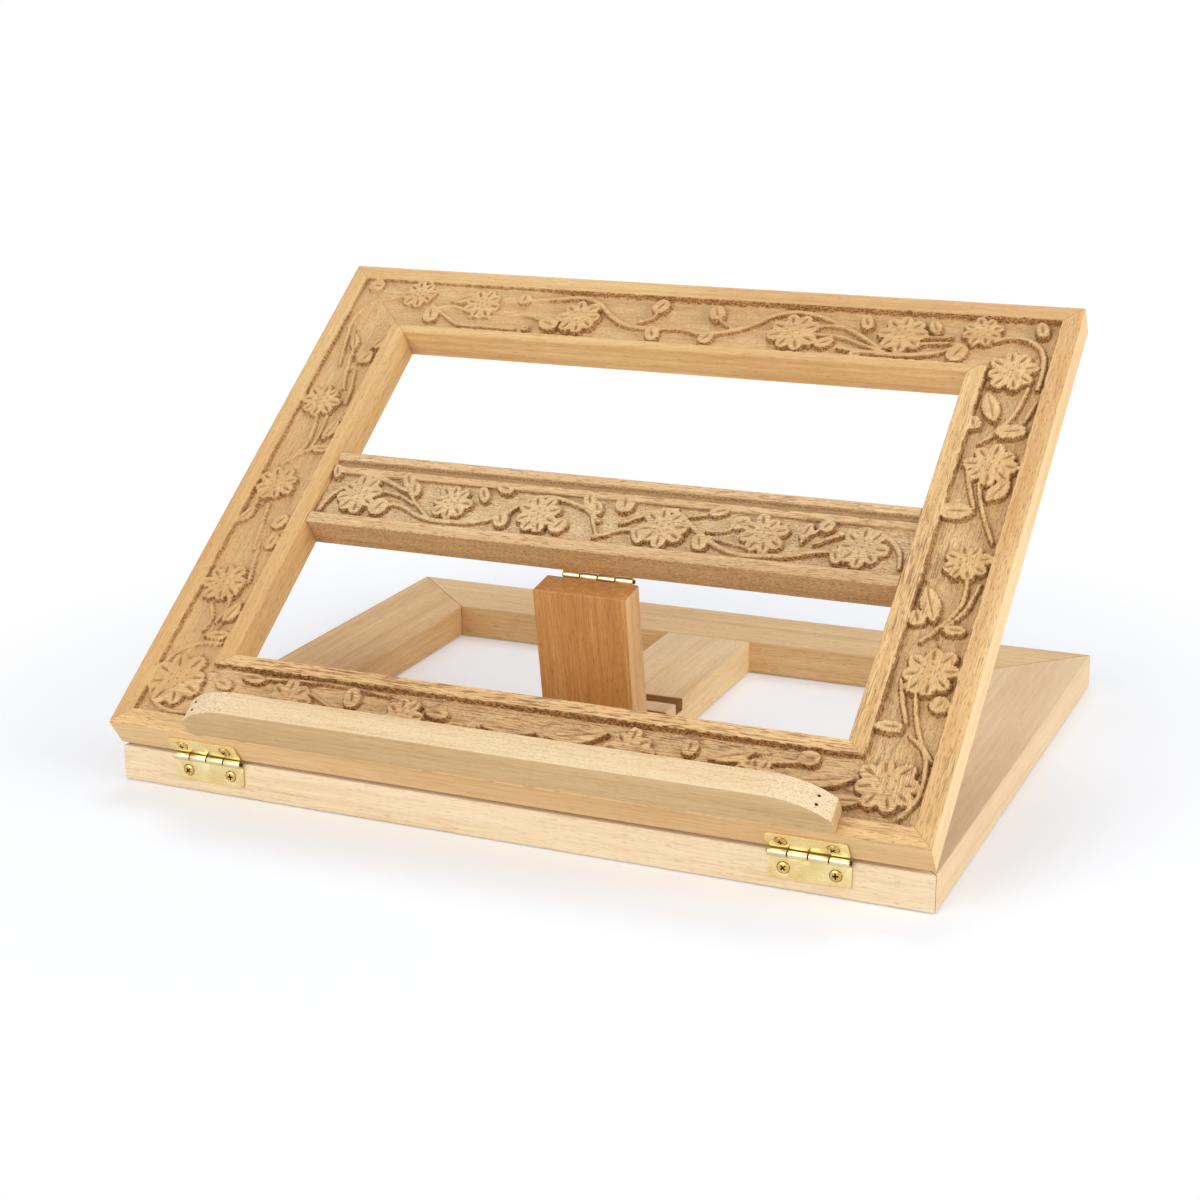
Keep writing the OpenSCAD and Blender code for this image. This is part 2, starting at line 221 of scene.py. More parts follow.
# Each layer of the grain: mm along it, mm across it, then the noise's detail and roughness.
grainLayers = {
    "drift": (170, 24, 2, 0.5),
    "figure": (260, 3.2, 3, 0.55),
    "fibre": (16, 0.7, 3, 0.65),
    "pore": (4.5, 0.55, 1, 0.5),
    "vein": (11, 0.8, 3, 0.65),
    "grit": (1.6, 0.5, 3, 0.7),
    "speck": (1.1, 0.7, 3, 0.7),
}


def grainNoise(tree, look):
    place = {
        "Vector": addNode(tree, "ShaderNodeTexCoord").outputs["Object"],
        "Rotation": [math.radians(a) for a in look["turn"]],
        "Location": [c * mm for c in look["shift"]],
    }
    along = addNode(tree, "ShaderNodeMapping", place).outputs[0]
    layer = {}
    for key, (long, across, detail, coarse) in grainLayers.items():
        scale = (1 / (long * mm), 1 / (across * mm), 1 / (across * mm))
        sized = addNode(tree, "ShaderNodeMapping", {"Vector": along, "Scale": scale}).outputs[0]
        noise = {"Vector": sized, "Scale": 1.0, "Detail": detail, "Roughness": coarse}
        layer[key] = addNode(tree, "ShaderNodeTexNoise", noise).outputs["Fac"]
    return layer


# The grain's tones, and over them its pores, streaks and torn fibres.
def woodColour(tree, look, layer):
    shares = {0: look["figureShare"], 2: layer["drift"], 3: layer["figure"]}
    slow = addNode(tree, "ShaderNodeMix", shares).outputs[0]
    shares = {0: look["fibreShare"], 2: slow, 3: layer["fibre"]}
    shade = addNode(tree, "ShaderNodeMix", shares).outputs[0]
    stops = list(zip(look["toneAt"], look["tones"]))
    colour = addNode(tree, "ShaderNodeValToRGB", {"Fac": shade}, stops=stops).outputs["Color"]
    poreRange = (look["poreFrom"], look["poreFrom"] + look["poreRim"])
    # covers: noise layer, its range, strength, colour, where it is painted
    covers = [
        ("pore", poreRange, look["poreShare"], look["poreColour"], None),
        ("vein", look["streakRange"], look["streak"], look["streakColour"], "heart"),
        ("grit", look["gritRange"], look["grit"], look["gritColour"], "rough"),
        ("speck", look["fuzzRange"], look["fuzz"], look["fuzzColour"], "rough"),
    ]
    for key, (start, end), share, cover, painted in covers:
        if not share:
            continue
        limits = {"Value": layer[key], "From Min": start, "From Max": end, "To Max": share}
        amount = addNode(tree, "ShaderNodeMapRange", limits).outputs[0]
        if painted:
            mask = addNode(tree, "ShaderNodeAttribute", attribute_name=painted).outputs["Fac"]
            shares = {0: amount, 1: mask}
            amount = addNode(tree, "ShaderNodeMath", shares, operation="MULTIPLY").outputs[0]
        mixed = {0: amount, 6: colour, 7: tone(cover)}
        colour = addNode(tree, "ShaderNodeMix", mixed, data_type="RGBA").outputs[2]
    return colour


# What the cutter adds: walls scorched in brown specks, with painted shade in the same browns on
# walls facing the reader, in slits, dots and the quirk, and a nap on all that was worked.
def cutterMarks(tree, look, layer, colour, normal):
    scorchAndShade = addNode(tree, "ShaderNodeAttribute", attribute_name="scorchAndShade").outputs["Fac"]
    rough = addNode(tree, "ShaderNodeAttribute", attribute_name="rough").outputs["Fac"]
    start, end = look["burntRange"]
    limits = {"Value": layer["speck"], "From Min": start, "From Max": end}
    patch = addNode(tree, "ShaderNodeMapRange", limits).outputs[0]
    mixed = {0: patch, 6: tone(look["burntAndShadedTan"]), 7: tone(look["burntAndShadedBrown"])}
    burntAndShaded = addNode(tree, "ShaderNodeMix", mixed, data_type="RGBA").outputs[2]
    mixed = {0: scorchAndShade, 6: colour, 7: burntAndShaded}
    colour = addNode(tree, "ShaderNodeMix", mixed, data_type="RGBA").outputs[2]
    worked = {0: scorchAndShade, 1: rough}
    worked = addNode(tree, "ShaderNodeMath", worked, operation="MAXIMUM").outputs[0]
    torn = {0: worked, 1: layer["speck"]}
    torn = addNode(tree, "ShaderNodeMath", torn, operation="MULTIPLY").outputs[0]
    nap = {"Height": torn, "Strength": look["tornBump"], "Distance": look["tornDeep"] * mm}
    normal = addNode(tree, "ShaderNodeBump", {**nap, "Normal": normal}).outputs["Normal"]
    return colour, normal


def makeWood(name, **changes):
    look = {**woodBase, **changes}
    material, tree = newMaterial(name)
    layer = grainNoise(tree, look)
    colour = woodColour(tree, look, layer)
    shares = {0: look["poreGroove"], 2: layer["fibre"], 3: layer["pore"]}
    relief = addNode(tree, "ShaderNodeMix", shares).outputs[0]
    grooves = {"Height": relief, "Strength": look["bump"], "Distance": look["grooveDeep"] * mm}
    normal = addNode(tree, "ShaderNodeBump", grooves, invert=True).outputs["Normal"]
    if look["carved"]:
        colour, normal = cutterMarks(tree, look, layer, colour, normal)
    start, end = look["fibreRange"]
    limits = {"Value": layer["fibre"], "From Min": start, "From Max": end}
    smoothest, roughest = (look["rough"] + change for change in look["roughSpread"])
    limits.update({"To Min": smoothest, "To Max": roughest})
    gloss = addNode(tree, "ShaderNodeMapRange", limits).outputs[0]
    finish = {"Base Color": colour, "Roughness": gloss, "Normal": normal, "IOR": 1.5}
    shader = addNode(tree, "ShaderNodeBsdfPrincipled", finish)
    addNode(tree, "ShaderNodeOutputMaterial", {"Surface": shader.outputs[0]})
    return material


acrossTurn = (-stand["tilt"], 0, 0)  # grain along X on the tilted frame
upTurn = (-stand["tilt"], 0, -90)  # grain up the slope
sideTurn = (0, 0, -90)  # grain from front to back
carvedLook = {"carved": True, "grit": 0.5, "fuzz": 0.2}
paleWalls = {"burntAndShadedBrown": "#805020", "burntAndShadedTan": "#CA9A5C"}
woods = {
    # what differs from woodBase
    "bottomRail": (
        "carved hardwood, bottom rail",
        {
            **carvedLook,
            "turn": acrossTurn,
            "tones": ("#F5D196", "#E8BD81", "#C59763"),
            "streak": 0.78,
            "grit": 0.4,
            "fuzz": 0.25,
            "poreShare": 0.5,
            "poreFrom": 0.57,
            "burntAndShadedBrown": "#683D17",
            "burntAndShadedTan": "#C09054",
        },
    ),
    "bottomFront": (
        "planed hardwood, front side of the bottom rail",
        {
            "turn": acrossTurn,
            "shift": (0, 0, 150),
            "tones": ("#E9C791", "#DDB580", "#C99C65"),
            "poreShare": 0.15,
        },
    ),
    "topRail": (
        "carved hardwood, top rail",
        {
            **carvedLook,
            "turn": acrossTurn,
            "shift": (80, 0, 40),
            "tones": ("#EECA8E", "#DDB074", "#C8955A"),
            "poreShare": 0.3,
            "grit": 0.4,
            **paleWalls,
        },
    ),
    "middleRail": (
        "carved hardwood, middle rail",
        {
            **carvedLook,
            "turn": acrossTurn,
            "shift": (300, 0, 90),
            "streak": 0.6,
            "grit": 0.6,
            "gritColour": "#845222",
            # this much fuzz also paints light into the ground that the walls shade; the rest is
            # pale stippling
            "fuzz": 0.85,
            "fuzzColour": "#F8E0B8",
            "tones": ("#F6D49F", "#E0B986", "#C59763"),
            "poreShare": 0.65,
            "poreFrom": 0.57,
        },
    ),
    # the middle rail's lower side faces down: its deeper tones are painted shade, its grit and fuzz
    # torn fibres
    "middleShadedSide": (
        "sawn hardwood, lower side of the middle rail",
        {
            **carvedLook,
            "turn": acrossTurn,
            "shift": (300, 0, 90),
            "tones": ("#DAAE76", "#CC9E66", "#B08248"),
            "poreShare": 0.3,
            "grit": 0.75,
            "gritColour": "#80552C",
            "fuzz": 0.4,
            "fuzzColour": "#EBCDA0",
        },
    ),
    "leftStile": (
        "carved hardwood, left stile",
        {
            **carvedLook,
            "turn": upTurn,
            "tones": ("#EBC487", "#DAAD70", "#C69558"),
            "grit": 0.3,
            **paleWalls,
        },
    ),
    "rightStile": (
        "carved hardwood, right stile",
        {
            **carvedLook,
            "turn": upTurn,
            "shift": (200, 0, 60),
            "streak": 0.7,
            "tones": ("#F4CF94", "#E5BA7F", "#CE9857"),
            "gritColour": "#945C22",
            "poreShare": 0.5,
            "poreFrom": 0.57,
            "burntAndShadedBrown": "#74481A",
            "burntAndShadedTan": "#C89658",
        },
    ),
    # the right stile's outer side: its paler tones are painted light from the right
    "rightLitSide": (
        "sanded sapwood, outer side of the right stile",
        {
            "turn": upTurn,
            "tones": ("#F4D9A9", "#EDCA94", "#DCB47B"),
            "poreShare": 0.15,
        },
    ),
    "ledge": (
        "sanded hardwood, book ledge",
        {
            "turn": acrossTurn,
            "shift": (500, 0, 120),
            "poreShare": 0.25,
            "tones": ("#DCBD8D", "#CDAB79", "#BC9663"),
        },
    ),
    # the ledge's top faces up: its paler tones are painted light, its fuzz and grit torn fibres
    "ledgeLitTop": (
        "sawn sapwood, upper face of the book ledge",
        {
            "turn": acrossTurn,
            "shift": (500, 0, 120),
            "poreShare": 0.15,
            "tones": ("#F1D8AE", "#E8C99B", "#CFAA78"),
            "rough": 0.7,
            "fuzz": 0.8,
            "fuzzColour": "#FCEBCF",
            "grit": 0.8,
            "gritColour": "#B8926A",
        },
    ),
    "baseFront": (
        "sanded hardwood, base front rail",
        {"tones": ("#F8E5C7", "#F0D8B2", "#DDBB92"), "poreShare": 0.22},
    ),
    "baseRear": (
        "sanded hardwood, base rear rail",
        {
            "shift": (0, 50, 40),
            "tones": ("#F0CE9A", "#E0BA84", "#CBA06A"),
            "poreShare": 0.3,
        },
    ),
    "baseLeft": (
        "sanded hardwood, base left side",
        {
            "turn": sideTurn,
            "shift": (30, 90, 0),
            "tones": ("#EBC68E", "#DBB079", "#C6965C"),
            "poreShare": 0.2,
        },
    ),
    "baseRight": (
        "sanded hardwood, base right side",
        {
            "turn": sideTurn,
            "shift": (70, 30, 0),
            "tones": ("#F0D7B0", "#E9C99D", "#DFBA8E"),
            "poreShare": 0.1,
        },
    ),
    "plank": (
        "sanded hardwood, grooved plank",
        {
            "turn": sideTurn,
            "shift": (90, 0, 50),
            "tones": ("#F3D8AC", "#EBCB9A", "#DBB27C"),
            "poreShare": 0.2,
        },
    ),
    # the strut's front, back and ends are drawn darker than its sides: brown wood, darkened further
    # as painted shade
    "strut": (
        "planed brown hardwood darkened as painted shade, strut",
        {
            "turn": (-stand["tilt"] - strutTurn, 0, -90),
            "tones": ("#D9A362", "#C78A4B", "#AB7036"),
            "poreColour": "#7A4B22",
        },
    ),
    "strutEdge": (
        "planed hardwood, sides of the strut",
        {
            "turn": (-stand["tilt"] - strutTurn, 0, -90),
            "tones": ("#F2C588", "#E2B073", "#C88E50"),
        },
    ),
    "dowel": (
        "turned hardwood, dowels",
        {"turn": (0, 0, 45), "tones": ("#EFD6AC", "#E6C694", "#C59763")},
    ),
    # dark sawn wood: the mitres' joint lines, and the plank's grooves, whose darkness is end grain
    # and painted shade
    "sawn": (
        "sawn hardwood, mitre edges and grooves",
        {"tones": ("#B98F5D", "#A1763F", "#8A6034"), "rough": 0.75},
    ),
}
materials = {key: makeWood(name, **changes) for key, (name, changes) in woods.items()}
print("wood ready")


# Brass-plated steel, pressed and polished: an even pale gold that mirrors soft light, with
# a faint brushed grain. The barrels are drawn paler as painted highlight, the pins in them
# darker as painted shade in the gaps between knuckles, and the screws are a little redder, with
# dirt and painted shade in their crosses.
brassBase = {
    "brushLong": 8,
    "brushWide": 0.5,
    "brushDeep": 0.03,
    "brushRange": (0.3, 0.7),  # the noise lies mostly in here
    "roughSpread": 0.08,
    "cloud": 9,  # size of the slow changes of tone
    "cloudRange": (0.35, 0.75),
}
metals = {
    # name, its two tones, roughness, strength of the brushed grain
    "brass": ("polished brass plate, hinges", ("#F4E1A9", "#E4CA88"), 0.24, 0.12),
    "barrelBrass": ("brass plate paler as painted highlight, hinge barrels", ("#E6DAB2", "#D6C797"), 0.26, 0.1),
    "pinBrass": ("brass darkened as painted shade, hinge pins", ("#5A4626", "#3A2C16"), 0.4, 0.1),
    "screwBrass": ("brass-plated steel, screws", ("#E6C883", "#C09A52"), 0.24, 0.1),
    "screwCross": ("tarnished brass with painted shade, screw crosses", ("#80592A", "#4E3616"), 0.5, 0.1),
    "nailSteel": ("dull wire steel, brads", ("#4E4034", "#2C231B"), 0.6, 0.2),
}


def makeMetal(name, tones, rough, grain):
    material, tree = newMaterial(name)
    spot = addNode(tree, "ShaderNodeTexCoord").outputs["Object"]
    wide = brassBase["brushWide"] * mm
    scale = (1 / (brassBase["brushLong"] * mm), 1 / wide, 1 / wide)
    brushed = addNode(tree, "ShaderNodeMapping", {"Vector": spot, "Scale": scale}).outputs[0]
    noise = {"Vector": brushed, "Scale": 1.0, "Detail": 2.0}
    lines = addNode(tree, "ShaderNodeTexNoise", noise).outputs["Fac"]
    noise = {"Vector": spot, "Scale": 1 / (brassBase["cloud"] * mm), "Detail": 3.0}
    cloud = addNode(tree, "ShaderNodeTexNoise", noise).outputs["Fac"]
    stops = list(zip(brassBase["cloudRange"], tones))
    colour = addNode(tree, "ShaderNodeValToRGB", {"Fac": cloud}, stops=stops).outputs["Color"]
    start, end = brassBase["brushRange"]
    limits = {"Value": lines, "From Min": start, "From Max": end}
    limits.update({"To Min": rough, "To Max": rough + brassBase["roughSpread"]})
    polish = addNode(tree, "ShaderNodeMapRange", limits).outputs[0]
    ridges = {"Height": lines, "Strength": grain, "Distance": brassBase["brushDeep"] * mm}
    normal = addNode(tree, "ShaderNodeBump", ridges).outputs["Normal"]
    finish = {"Base Color": colour, "Metallic": 1.0, "Roughness": polish, "Normal": normal}
    shader = addNode(tree, "ShaderNodeBsdfPrincipled", finish)
    addNode(tree, "ShaderNodeOutputMaterial", {"Surface": shader.outputs[0]})
    return material


for key, look in metals.items():
    materials[key] = makeMetal(*look)
print("metal ready")


# Motifs in frame millimetres (x, v).
# flowers: x, v, radius, turn.  buds: x, v, length, width, direction.
# leaves: x, v, length, width, direction.  vines: half width, then the points.
carving = {
    "flowers": [
        (-142, 271, 9, 10), (-106, 267, 9.5, 30), (-53, 263, 11, 5),
        (55, 262, 12, 20), (106, 265, 11, 0), (142, 270, 9, 25),
        (-120, 141, 11, 12), (-73, 142, 10, 0), (-29, 140, 10.5, 20),
        (30, 140, 11, 8), (76, 142, 10.5, 15), (120, 140, 11, 3),
        (-162, 27, 14, 15), (-106, 24, 11, 0), (-50, 24, 10.5, 12),
        (53, 24, 11, 0), (108, 21, 9, 20), (160, 26, 12.5, 10),
        (-165, 196, 10, 0), (-165, 142, 10, 20), (-165, 82, 11, 10),
        (160, 247, 11, 15), (163, 192, 12, 0), (165, 138, 10, 20), (164, 81, 12, 8),
    ],
    "buds": [
        (-168, 275, 8, 8, 0), (-131, 258, 11, 8, 105), (-85, 272, 7, 7, 90),
        (-67, 257, 10, 8, 165), (-14, 273, 9, 8, 60), (-13, 255, 9, 7, 115),
        (15, 271, 9, 8, 115), (14, 255, 8, 7, 60), (71, 257, 9, 6, 30),
        (88, 271, 9, 6, 110), (133, 256, 11, 9, 65), (168, 273, 9, 6, 110),
        (-78, 253, 4, 3, 0), (87, 251, 5, 4, 0),
        (-108, 135, 10, 9, 60), (-99, 152, 9, 6, 120), (-94, 147, 9, 6, 110),
        (-59, 148, 9, 5, 120), (-50, 153, 9, 6, 160), (-46, 135, 9, 7, 110),
        (-18, 135, 9, 8, 60), (-8, 151, 9, 6, 110), (-3, 147, 8, 5, 115),
        (9, 151, 10, 9, 100), (20, 134, 9, 5, 120), (49, 134, 9, 7, 110),
        (64, 147, 9, 7, 30), (53, 152, 9, 5, 20), (94, 146, 9, 5, 75),
        (102, 150, 7, 7, 60), (110, 134, 8, 5, 110), (-137, 153, 8, 4, 110),
        (-139, 28, 9, 6, 160), (-126, 33, 11, 5, 175), (-76, 30, 10, 8, 110),
        (-35, 29, 11, 6, 170), (78, 30, 8, 7, 90), (127, 33, 9, 7, 0),
        (-152, 166, 9, 5, 5), (-153, 120, 9, 7, 60), (-152, 108, 9, 6, 80),
        (-154, 53, 11, 5, 8), (150, 215, 8, 7, 110), (167, 212, 13, 8, 10),
        (154, 165, 14, 9, 5), (152, 107, 8, 7, 110), (168, 103, 9, 5, 0),
        (171, 66, 8, 8, 60), (154, 53, 11, 6, 0),
    ],
    "leaves": [
        (-117, 270, 14, 5, 27), (120, 271, 11, 6, 115), (30, 28, 26, 8, 14),
        (96, 29, 20, 6, 18), (135, 24, 26, 7, 12), (144, 16, 20, 6, 8),
        (-1, 26, 26, 5, 0), (-164, 236, 12, 5, 110), (-154, 226, 10, 8, 60),
        (-151, 236, 9, 6, 60), (-152, 178, 14, 6, 75), (-172, 122, 12, 5, 60),
        (-153, 66, 13, 7, 70), (155.5, 225, 19, 8, 112), (155.5, 115, 20, 8.5, 112),
        (169, 178, 15, 8, 60),
    ],
    "vines": [
        (1.5, [(-172, 246), (-170, 258), (-163, 266), (-155, 269), (-146, 269)]),
        (1.2, [(-133, 265), (-120, 256), (-113, 253), (-100, 253), (-84, 252)]),
        (1.1, [(-110, 258), (-98, 259), (-90, 261), (-80, 262), (-72, 259)]),
        (1.1, [(-134, 261), (-122, 265), (-112, 262), (-104, 260)]),
        (1.5, [(-95, 270), (-70, 274), (-55, 276), (-46, 273), (-38, 266), (-30, 261),
               (-20, 259), (0, 260), (10, 258), (22, 260), (33, 265), (42, 272),
               (50, 275), (60, 275), (72, 271), (82, 266), (92, 260), (98, 256)]),
        (1.0, [(-22, 262), (-16, 266), (-14, 271)]),
        (1.0, [(26, 262), (19, 266), (16, 270)]),
        (1.1, [(62, 267), (75, 268), (85, 264), (96, 257)]),
        (1.1, [(62, 262), (76, 262), (88, 258), (100, 254)]),
        (1.4, [(78, 254.5), (90, 253.5), (104, 253), (116, 254), (124, 256), (133, 260)]),
        (1.0, [(108, 259), (118, 261), (128, 262)]),
        (1.0, [(112, 267), (120, 265), (128, 266)]),
        (1.5, [(148, 265), (155, 268), (163, 267), (170, 261), (173, 250), (173, 238)]),
        (1.5, [(-137, 130), (-135, 138), (-130, 145), (-124, 150), (-114, 152), (-98, 146)]),
        (1.4, [(-106, 137), (-97, 137), (-88, 133), (-80, 131), (-70, 131), (-60, 132),
               (-52, 135), (-46, 138), (-42, 143), (-36, 148), (-26, 151), (-10, 147), (0, 140)]),
        (1.0, [(-96, 145), (-90, 139), (-80, 131)]),
        (1.0, [(-112, 145), (-100, 143), (-92, 139)]),
        (1.0, [(-6, 146), (-2, 138), (2, 131)]),
        (1.3, [(0, 131), (6, 134), (12, 137), (20, 137)]),
        (1.4, [(10, 140), (18, 145), (25, 149), (35, 149), (40, 145), (48, 139), (56, 134),
               (64, 131), (71, 130), (80, 131), (88, 132), (95, 134), (102, 136), (112, 137)]),
        (1.1, [(16, 144), (26, 150), (34, 151)]),
        (1.1, [(40, 148), (47, 150), (53, 153)]),
        (1.1, [(50, 141), (58, 142), (64, 146)]),
        (1.0, [(52, 138), (62, 136), (72, 134)]),
        (1.0, [(93, 140), (95, 144), (102, 150)]),
        (1.4, [(99, 140), (108, 146), (115, 149), (122, 150), (130, 147), (136, 140), (138, 132)]),
        (1.2, [(-175, 30), (-173, 20), (-168, 14), (-160, 11), (-150, 11)]),
        (1.0, [(-97, 30), (-90, 27), (-84, 24)]),
        (0.9, [(-120, 34), (-90, 36), (-60, 34)]),
        (1.2, [(98, 27), (112, 29), (124, 31)]),
        (1.2, [(-172, 256), (-171, 245), (-168, 229), (-166, 220)]),
        (1.2, [(-163, 231), (-160, 214), (-157, 205)]),
        (1.2, [(-156, 217), (-153, 204), (-152, 196)]),
        (1.2, [(-163, 186), (-161, 171), (-164, 160), (-169, 154)]),
        (1.1, [(-158, 187), (-157, 174), (-158, 166)]),
        (1.3, [(-169, 154), (-161, 163), (-154, 166)]),
        (1.2, [(-173, 141), (-171, 130), (-172, 122)]),
        (1.2, [(-164, 130), (-161, 112), (-159, 103)]),
        (1.2, [(-158, 107), (-155, 92), (-153, 84)]),
        (1.2, [(-166, 70), (-162, 62), (-163, 55)]),
        (1.1, [(-159, 76), (-157, 68), (-159, 60)]),
        (1.6, [(-150, 49), (-160, 48), (-168, 44), (-172, 38), (-174, 30)]),
        (1.3, [(169, 238), (166, 222), (161, 212), (155, 204)]),
        (1.2, [(174, 230), (171, 219), (164, 208)]),
        (1.2, [(153, 190), (157, 178), (161, 168)]),
        (1.2, [(160, 182), (163, 172), (168, 160), (173, 150)]),
        (1.3, [(167, 131), (168, 118), (163, 106), (156, 96)]),
        (1.2, [(173, 128), (170, 114), (164, 104)]),
        (1.2, [(153, 76), (156, 66), (160, 56)]),
        (1.2, [(160, 72), (163, 60), (168, 48), (174, 40)]),
        (1.3, [(163, 50), (170, 44), (173, 34), (173, 22), (168, 12)]),
    ],
    # patches of dark, coarse grain: x, v, half length, half width, strength
    "heartwood": [
        (0, 39, 200, 9, 1.0), (70, 26, 130, 12, 0.65), (-70, 26, 60, 9, 0.5),
        (150, 25, 30, 22, 0.7), (95, 157, 75, 7, 0.8), (110, 145, 45, 10, 0.5),
        (-60, 158, 80, 5, 0.3), (20, 125, 140, 3, 0.3), (147, 132, 10, 32, 0.9),
        (147, 60, 12, 18, 0.7), (160, 100, 14, 20, 0.3), (150, 200, 14, 30, 0.3),
    ],
}
# Heights are measured from the bands, the plain strips beside the carved field.
cut = {
    "outerBand": 8.8,
    "railInnerBand": (6.4, 5.4),  # bottom rail, top rail
    "stileInnerBand": 8.4,
    "fieldDeep": 3.4,
    "wall": 0.6,  # run of a side wall, outside its line
    "outerLap": 0.3,  # and inside it, at the outer band,
    "innerLap": 0.1,  # at the inner band
    "motifLap": 0.05,  # and at a motif
    "wobble": 0.15,  # of the bands' lines
    "swell": (0.92, 0.1),  # the field's depth wavers about this share, by this much
    "swellLimits": (0.75, 1),
    "dimple": 0.1,  # small unevenness of its floor
    "shallowLeft": (0.25, (-125, -145)),  # share, and where it sets in: x
    "shallowCorner": (0.35, (-60, -95), (240, 262)),  # share, x, v
    "tear": (0.1, 0.28),  # raggedness of the walls, along the grain and across it
    "slitRim": (-0.3, 0.25),
    # slits and dots are darkened as painted shade in their hollows, and scorched
    "slitShadeAndScorch": 0.75,
    "arris": 0.8,
    "ease": 0.7,  # eased arris at the back
    "jointLine": 0.15,  # how far the mitre's very edge drops
    "jointRim": (0.5, 0.1),
    "jointScorch": 0.4,
    "scorchSlope": (0.9, 2.2),  # walls steeper than this turn brown
    "farWall": 0.4,  # how brown the walls turn that face up the slope, away from the reader; those facing the reader are darker as painted shade
    "farRise": (-0.7, 0.2),  # rise up the slope, as a share of steepness: from those walls on
    "flat": 0.01,  # slopes below this count as flat
    "bandRough": 0.22,  # the plain bands against the worked ground
    "cleanTop": (-2.0, -1.0),  # heights between which a motif's top turns clean
    "clean": 0.5,
    "heartWander": 0.25,
    "heartRim": (1.15, 0.75),
}
# The middle rail, from its lower edge up: the plain band, the field, then these.
moulding = {
    "band": 6.2,
    "bandRim": (-0.5, 0.3),
    "fillet": 3.4,
    "filletDeep": 1.2,
    "filletRim": (-0.9, 0.2),
    "quirk": 3.2,
    "quirkDeep": 2.9,
    "quirkRun": 0.9,  # of its lower wall
    # the quirk is darkened along its length as painted shade in the groove, and scorched
    "quirkShadeAndScorch": 0.55,
    "quirkRim": 0.6,  # how softly its scorching and painted shade set in,
    "beadRim": 0.4,  # and ends at the bead
    "bead": 5.8,
    "beadClean": 0.5,  # how much less the bead is scorched
    "beadWorked": 1,  # the cutter's nap reaches this far up it
}
# A flower has a ring of petals with a slit in each, and a heart with dots punched in it.
flowerCut = {
    "margin": 3,
    "petals": 8,
    "uneven": 0.1,  # of their angles, in radians
    "reach": (0.9, 1.08),  # and of their lengths
    "middle": 0.60,  # down to slitLong in shares of a petal's length
    "halfLong": 0.40,
    "halfWide": 0.29,
    "slitMiddle": 0.69,
    "slitLong": 0.19,
    "slitWide": 0.62,
    "slitDeep": 0.9,
    "blunt": 2.5,
    "top": 0.0,
    "sideFall": 0.35,
    "tipFall": 0.25,
    "heart": 0.34,  # this and dotRing in shares of the flower's radius
    "heartTop": 0.1,
    "heartFall": 0.02,
    "dotRing": 0.3,
    "dots": 6,  # in the ring, with one more in the middle
    "dotTurn": 20,
    "dotR": 0.42,
    "dotDeep": 0.5,
}
budCut = {
    "top": -0.2,
    "fall": 0.4,
    "blunt": 2.2,
    "slitMiddle": 0.05,  # in shares of its length
    "slitLong": 0.26,
    "slitWide": 0.55,
    "slitDeep": 0.7,
}
leafCut = {
    "top": -0.3,
    "fall": 0.4,
    "tip": 0.3,  # how far beyond its tips its outline ends
    "slitLong": 0.34,  # in shares of its length
    "slitWide": 0.45,
    "slitDeep": 0.5,
}
vineCut = {
    "top": -0.7,
    "fall": 0.8,
    "margin": 4,
    "tip": 0.5,  # shares of its half width: at its tips,
    "swell": 0.35,  # and what its middle has more
}
# Each unevenness: its size in mm and its seed.
ripples = {
    "heart": (18, 3),
    "wobble": (4, 4),
    "swell": (45, 5),
    "dimple": (7, 6),
    "middleSwell": (50, 7),
    "middleDimple": (7, 8),
    "tear": (1.4, 9),
}
waves = {"count": 9, "pitch": (0.7, 1.5)}
gridStep = 0.41


def smooth(low, high, value):
    t = np.clip((value - low) / (high - low), 0, 1)
    return t * t * (3 - 2 * t)


# Soft unevenness, made of a few crossing waves.
def ripple(x, v, kind):
    size, seed = ripples[kind]
    dice = np.random.default_rng(seed)
    total = np.zeros_like(x)
    for _ in range(waves["count"]):
        angle = dice.uniform(0, 2 * math.pi)
        pitch = size * dice.uniform(*waves["pitch"])
        phase = dice.uniform(0, 2 * math.pi)
        total += np.sin((x * math.cos(angle) + v * math.sin(angle)) * 2 * math.pi / pitch + phase)
    return total / math.sqrt(waves["count"])


# How far inside an oval a point lies; a blunt oval has fuller ends than an ellipse.
def insideOval(a, b, halfLong, halfWide, blunt=2.0):
    reach = (abs(a / halfLong) ** blunt + abs(b / halfWide) ** blunt) ** (1 / blunt)
    return (1 - reach) * min(halfLong, halfWide)


def nearby(panel, x, v, reach):
    return np.nonzero((abs(panel["x"] - x) < reach) & (abs(panel["v"] - v) < reach))[0]


# Lifts a motif out of the field, with a steep ragged wall outside its outline.
def lift(panel, where, inside, top):
    share = smooth(-cut["wall"], cut["motifLap"], inside + panel["tear"][where])
    now = panel["height"][where]
    raised = now + (top - now) * share
    panel["height"][where] = np.where(top > now, raised, now)


# A slit or a dot: cut down, and darkened as painted shade in its hollow, besides the scorching.
def slit(panel, where, inside, deep):
    share = smooth(*cut["slitRim"], inside)
    panel["height"][where] -= deep * share
    panel["scorchAndShade"][where] = np.maximum(panel["scorchAndShade"][where], cut["slitShadeAndScorch"] * share)


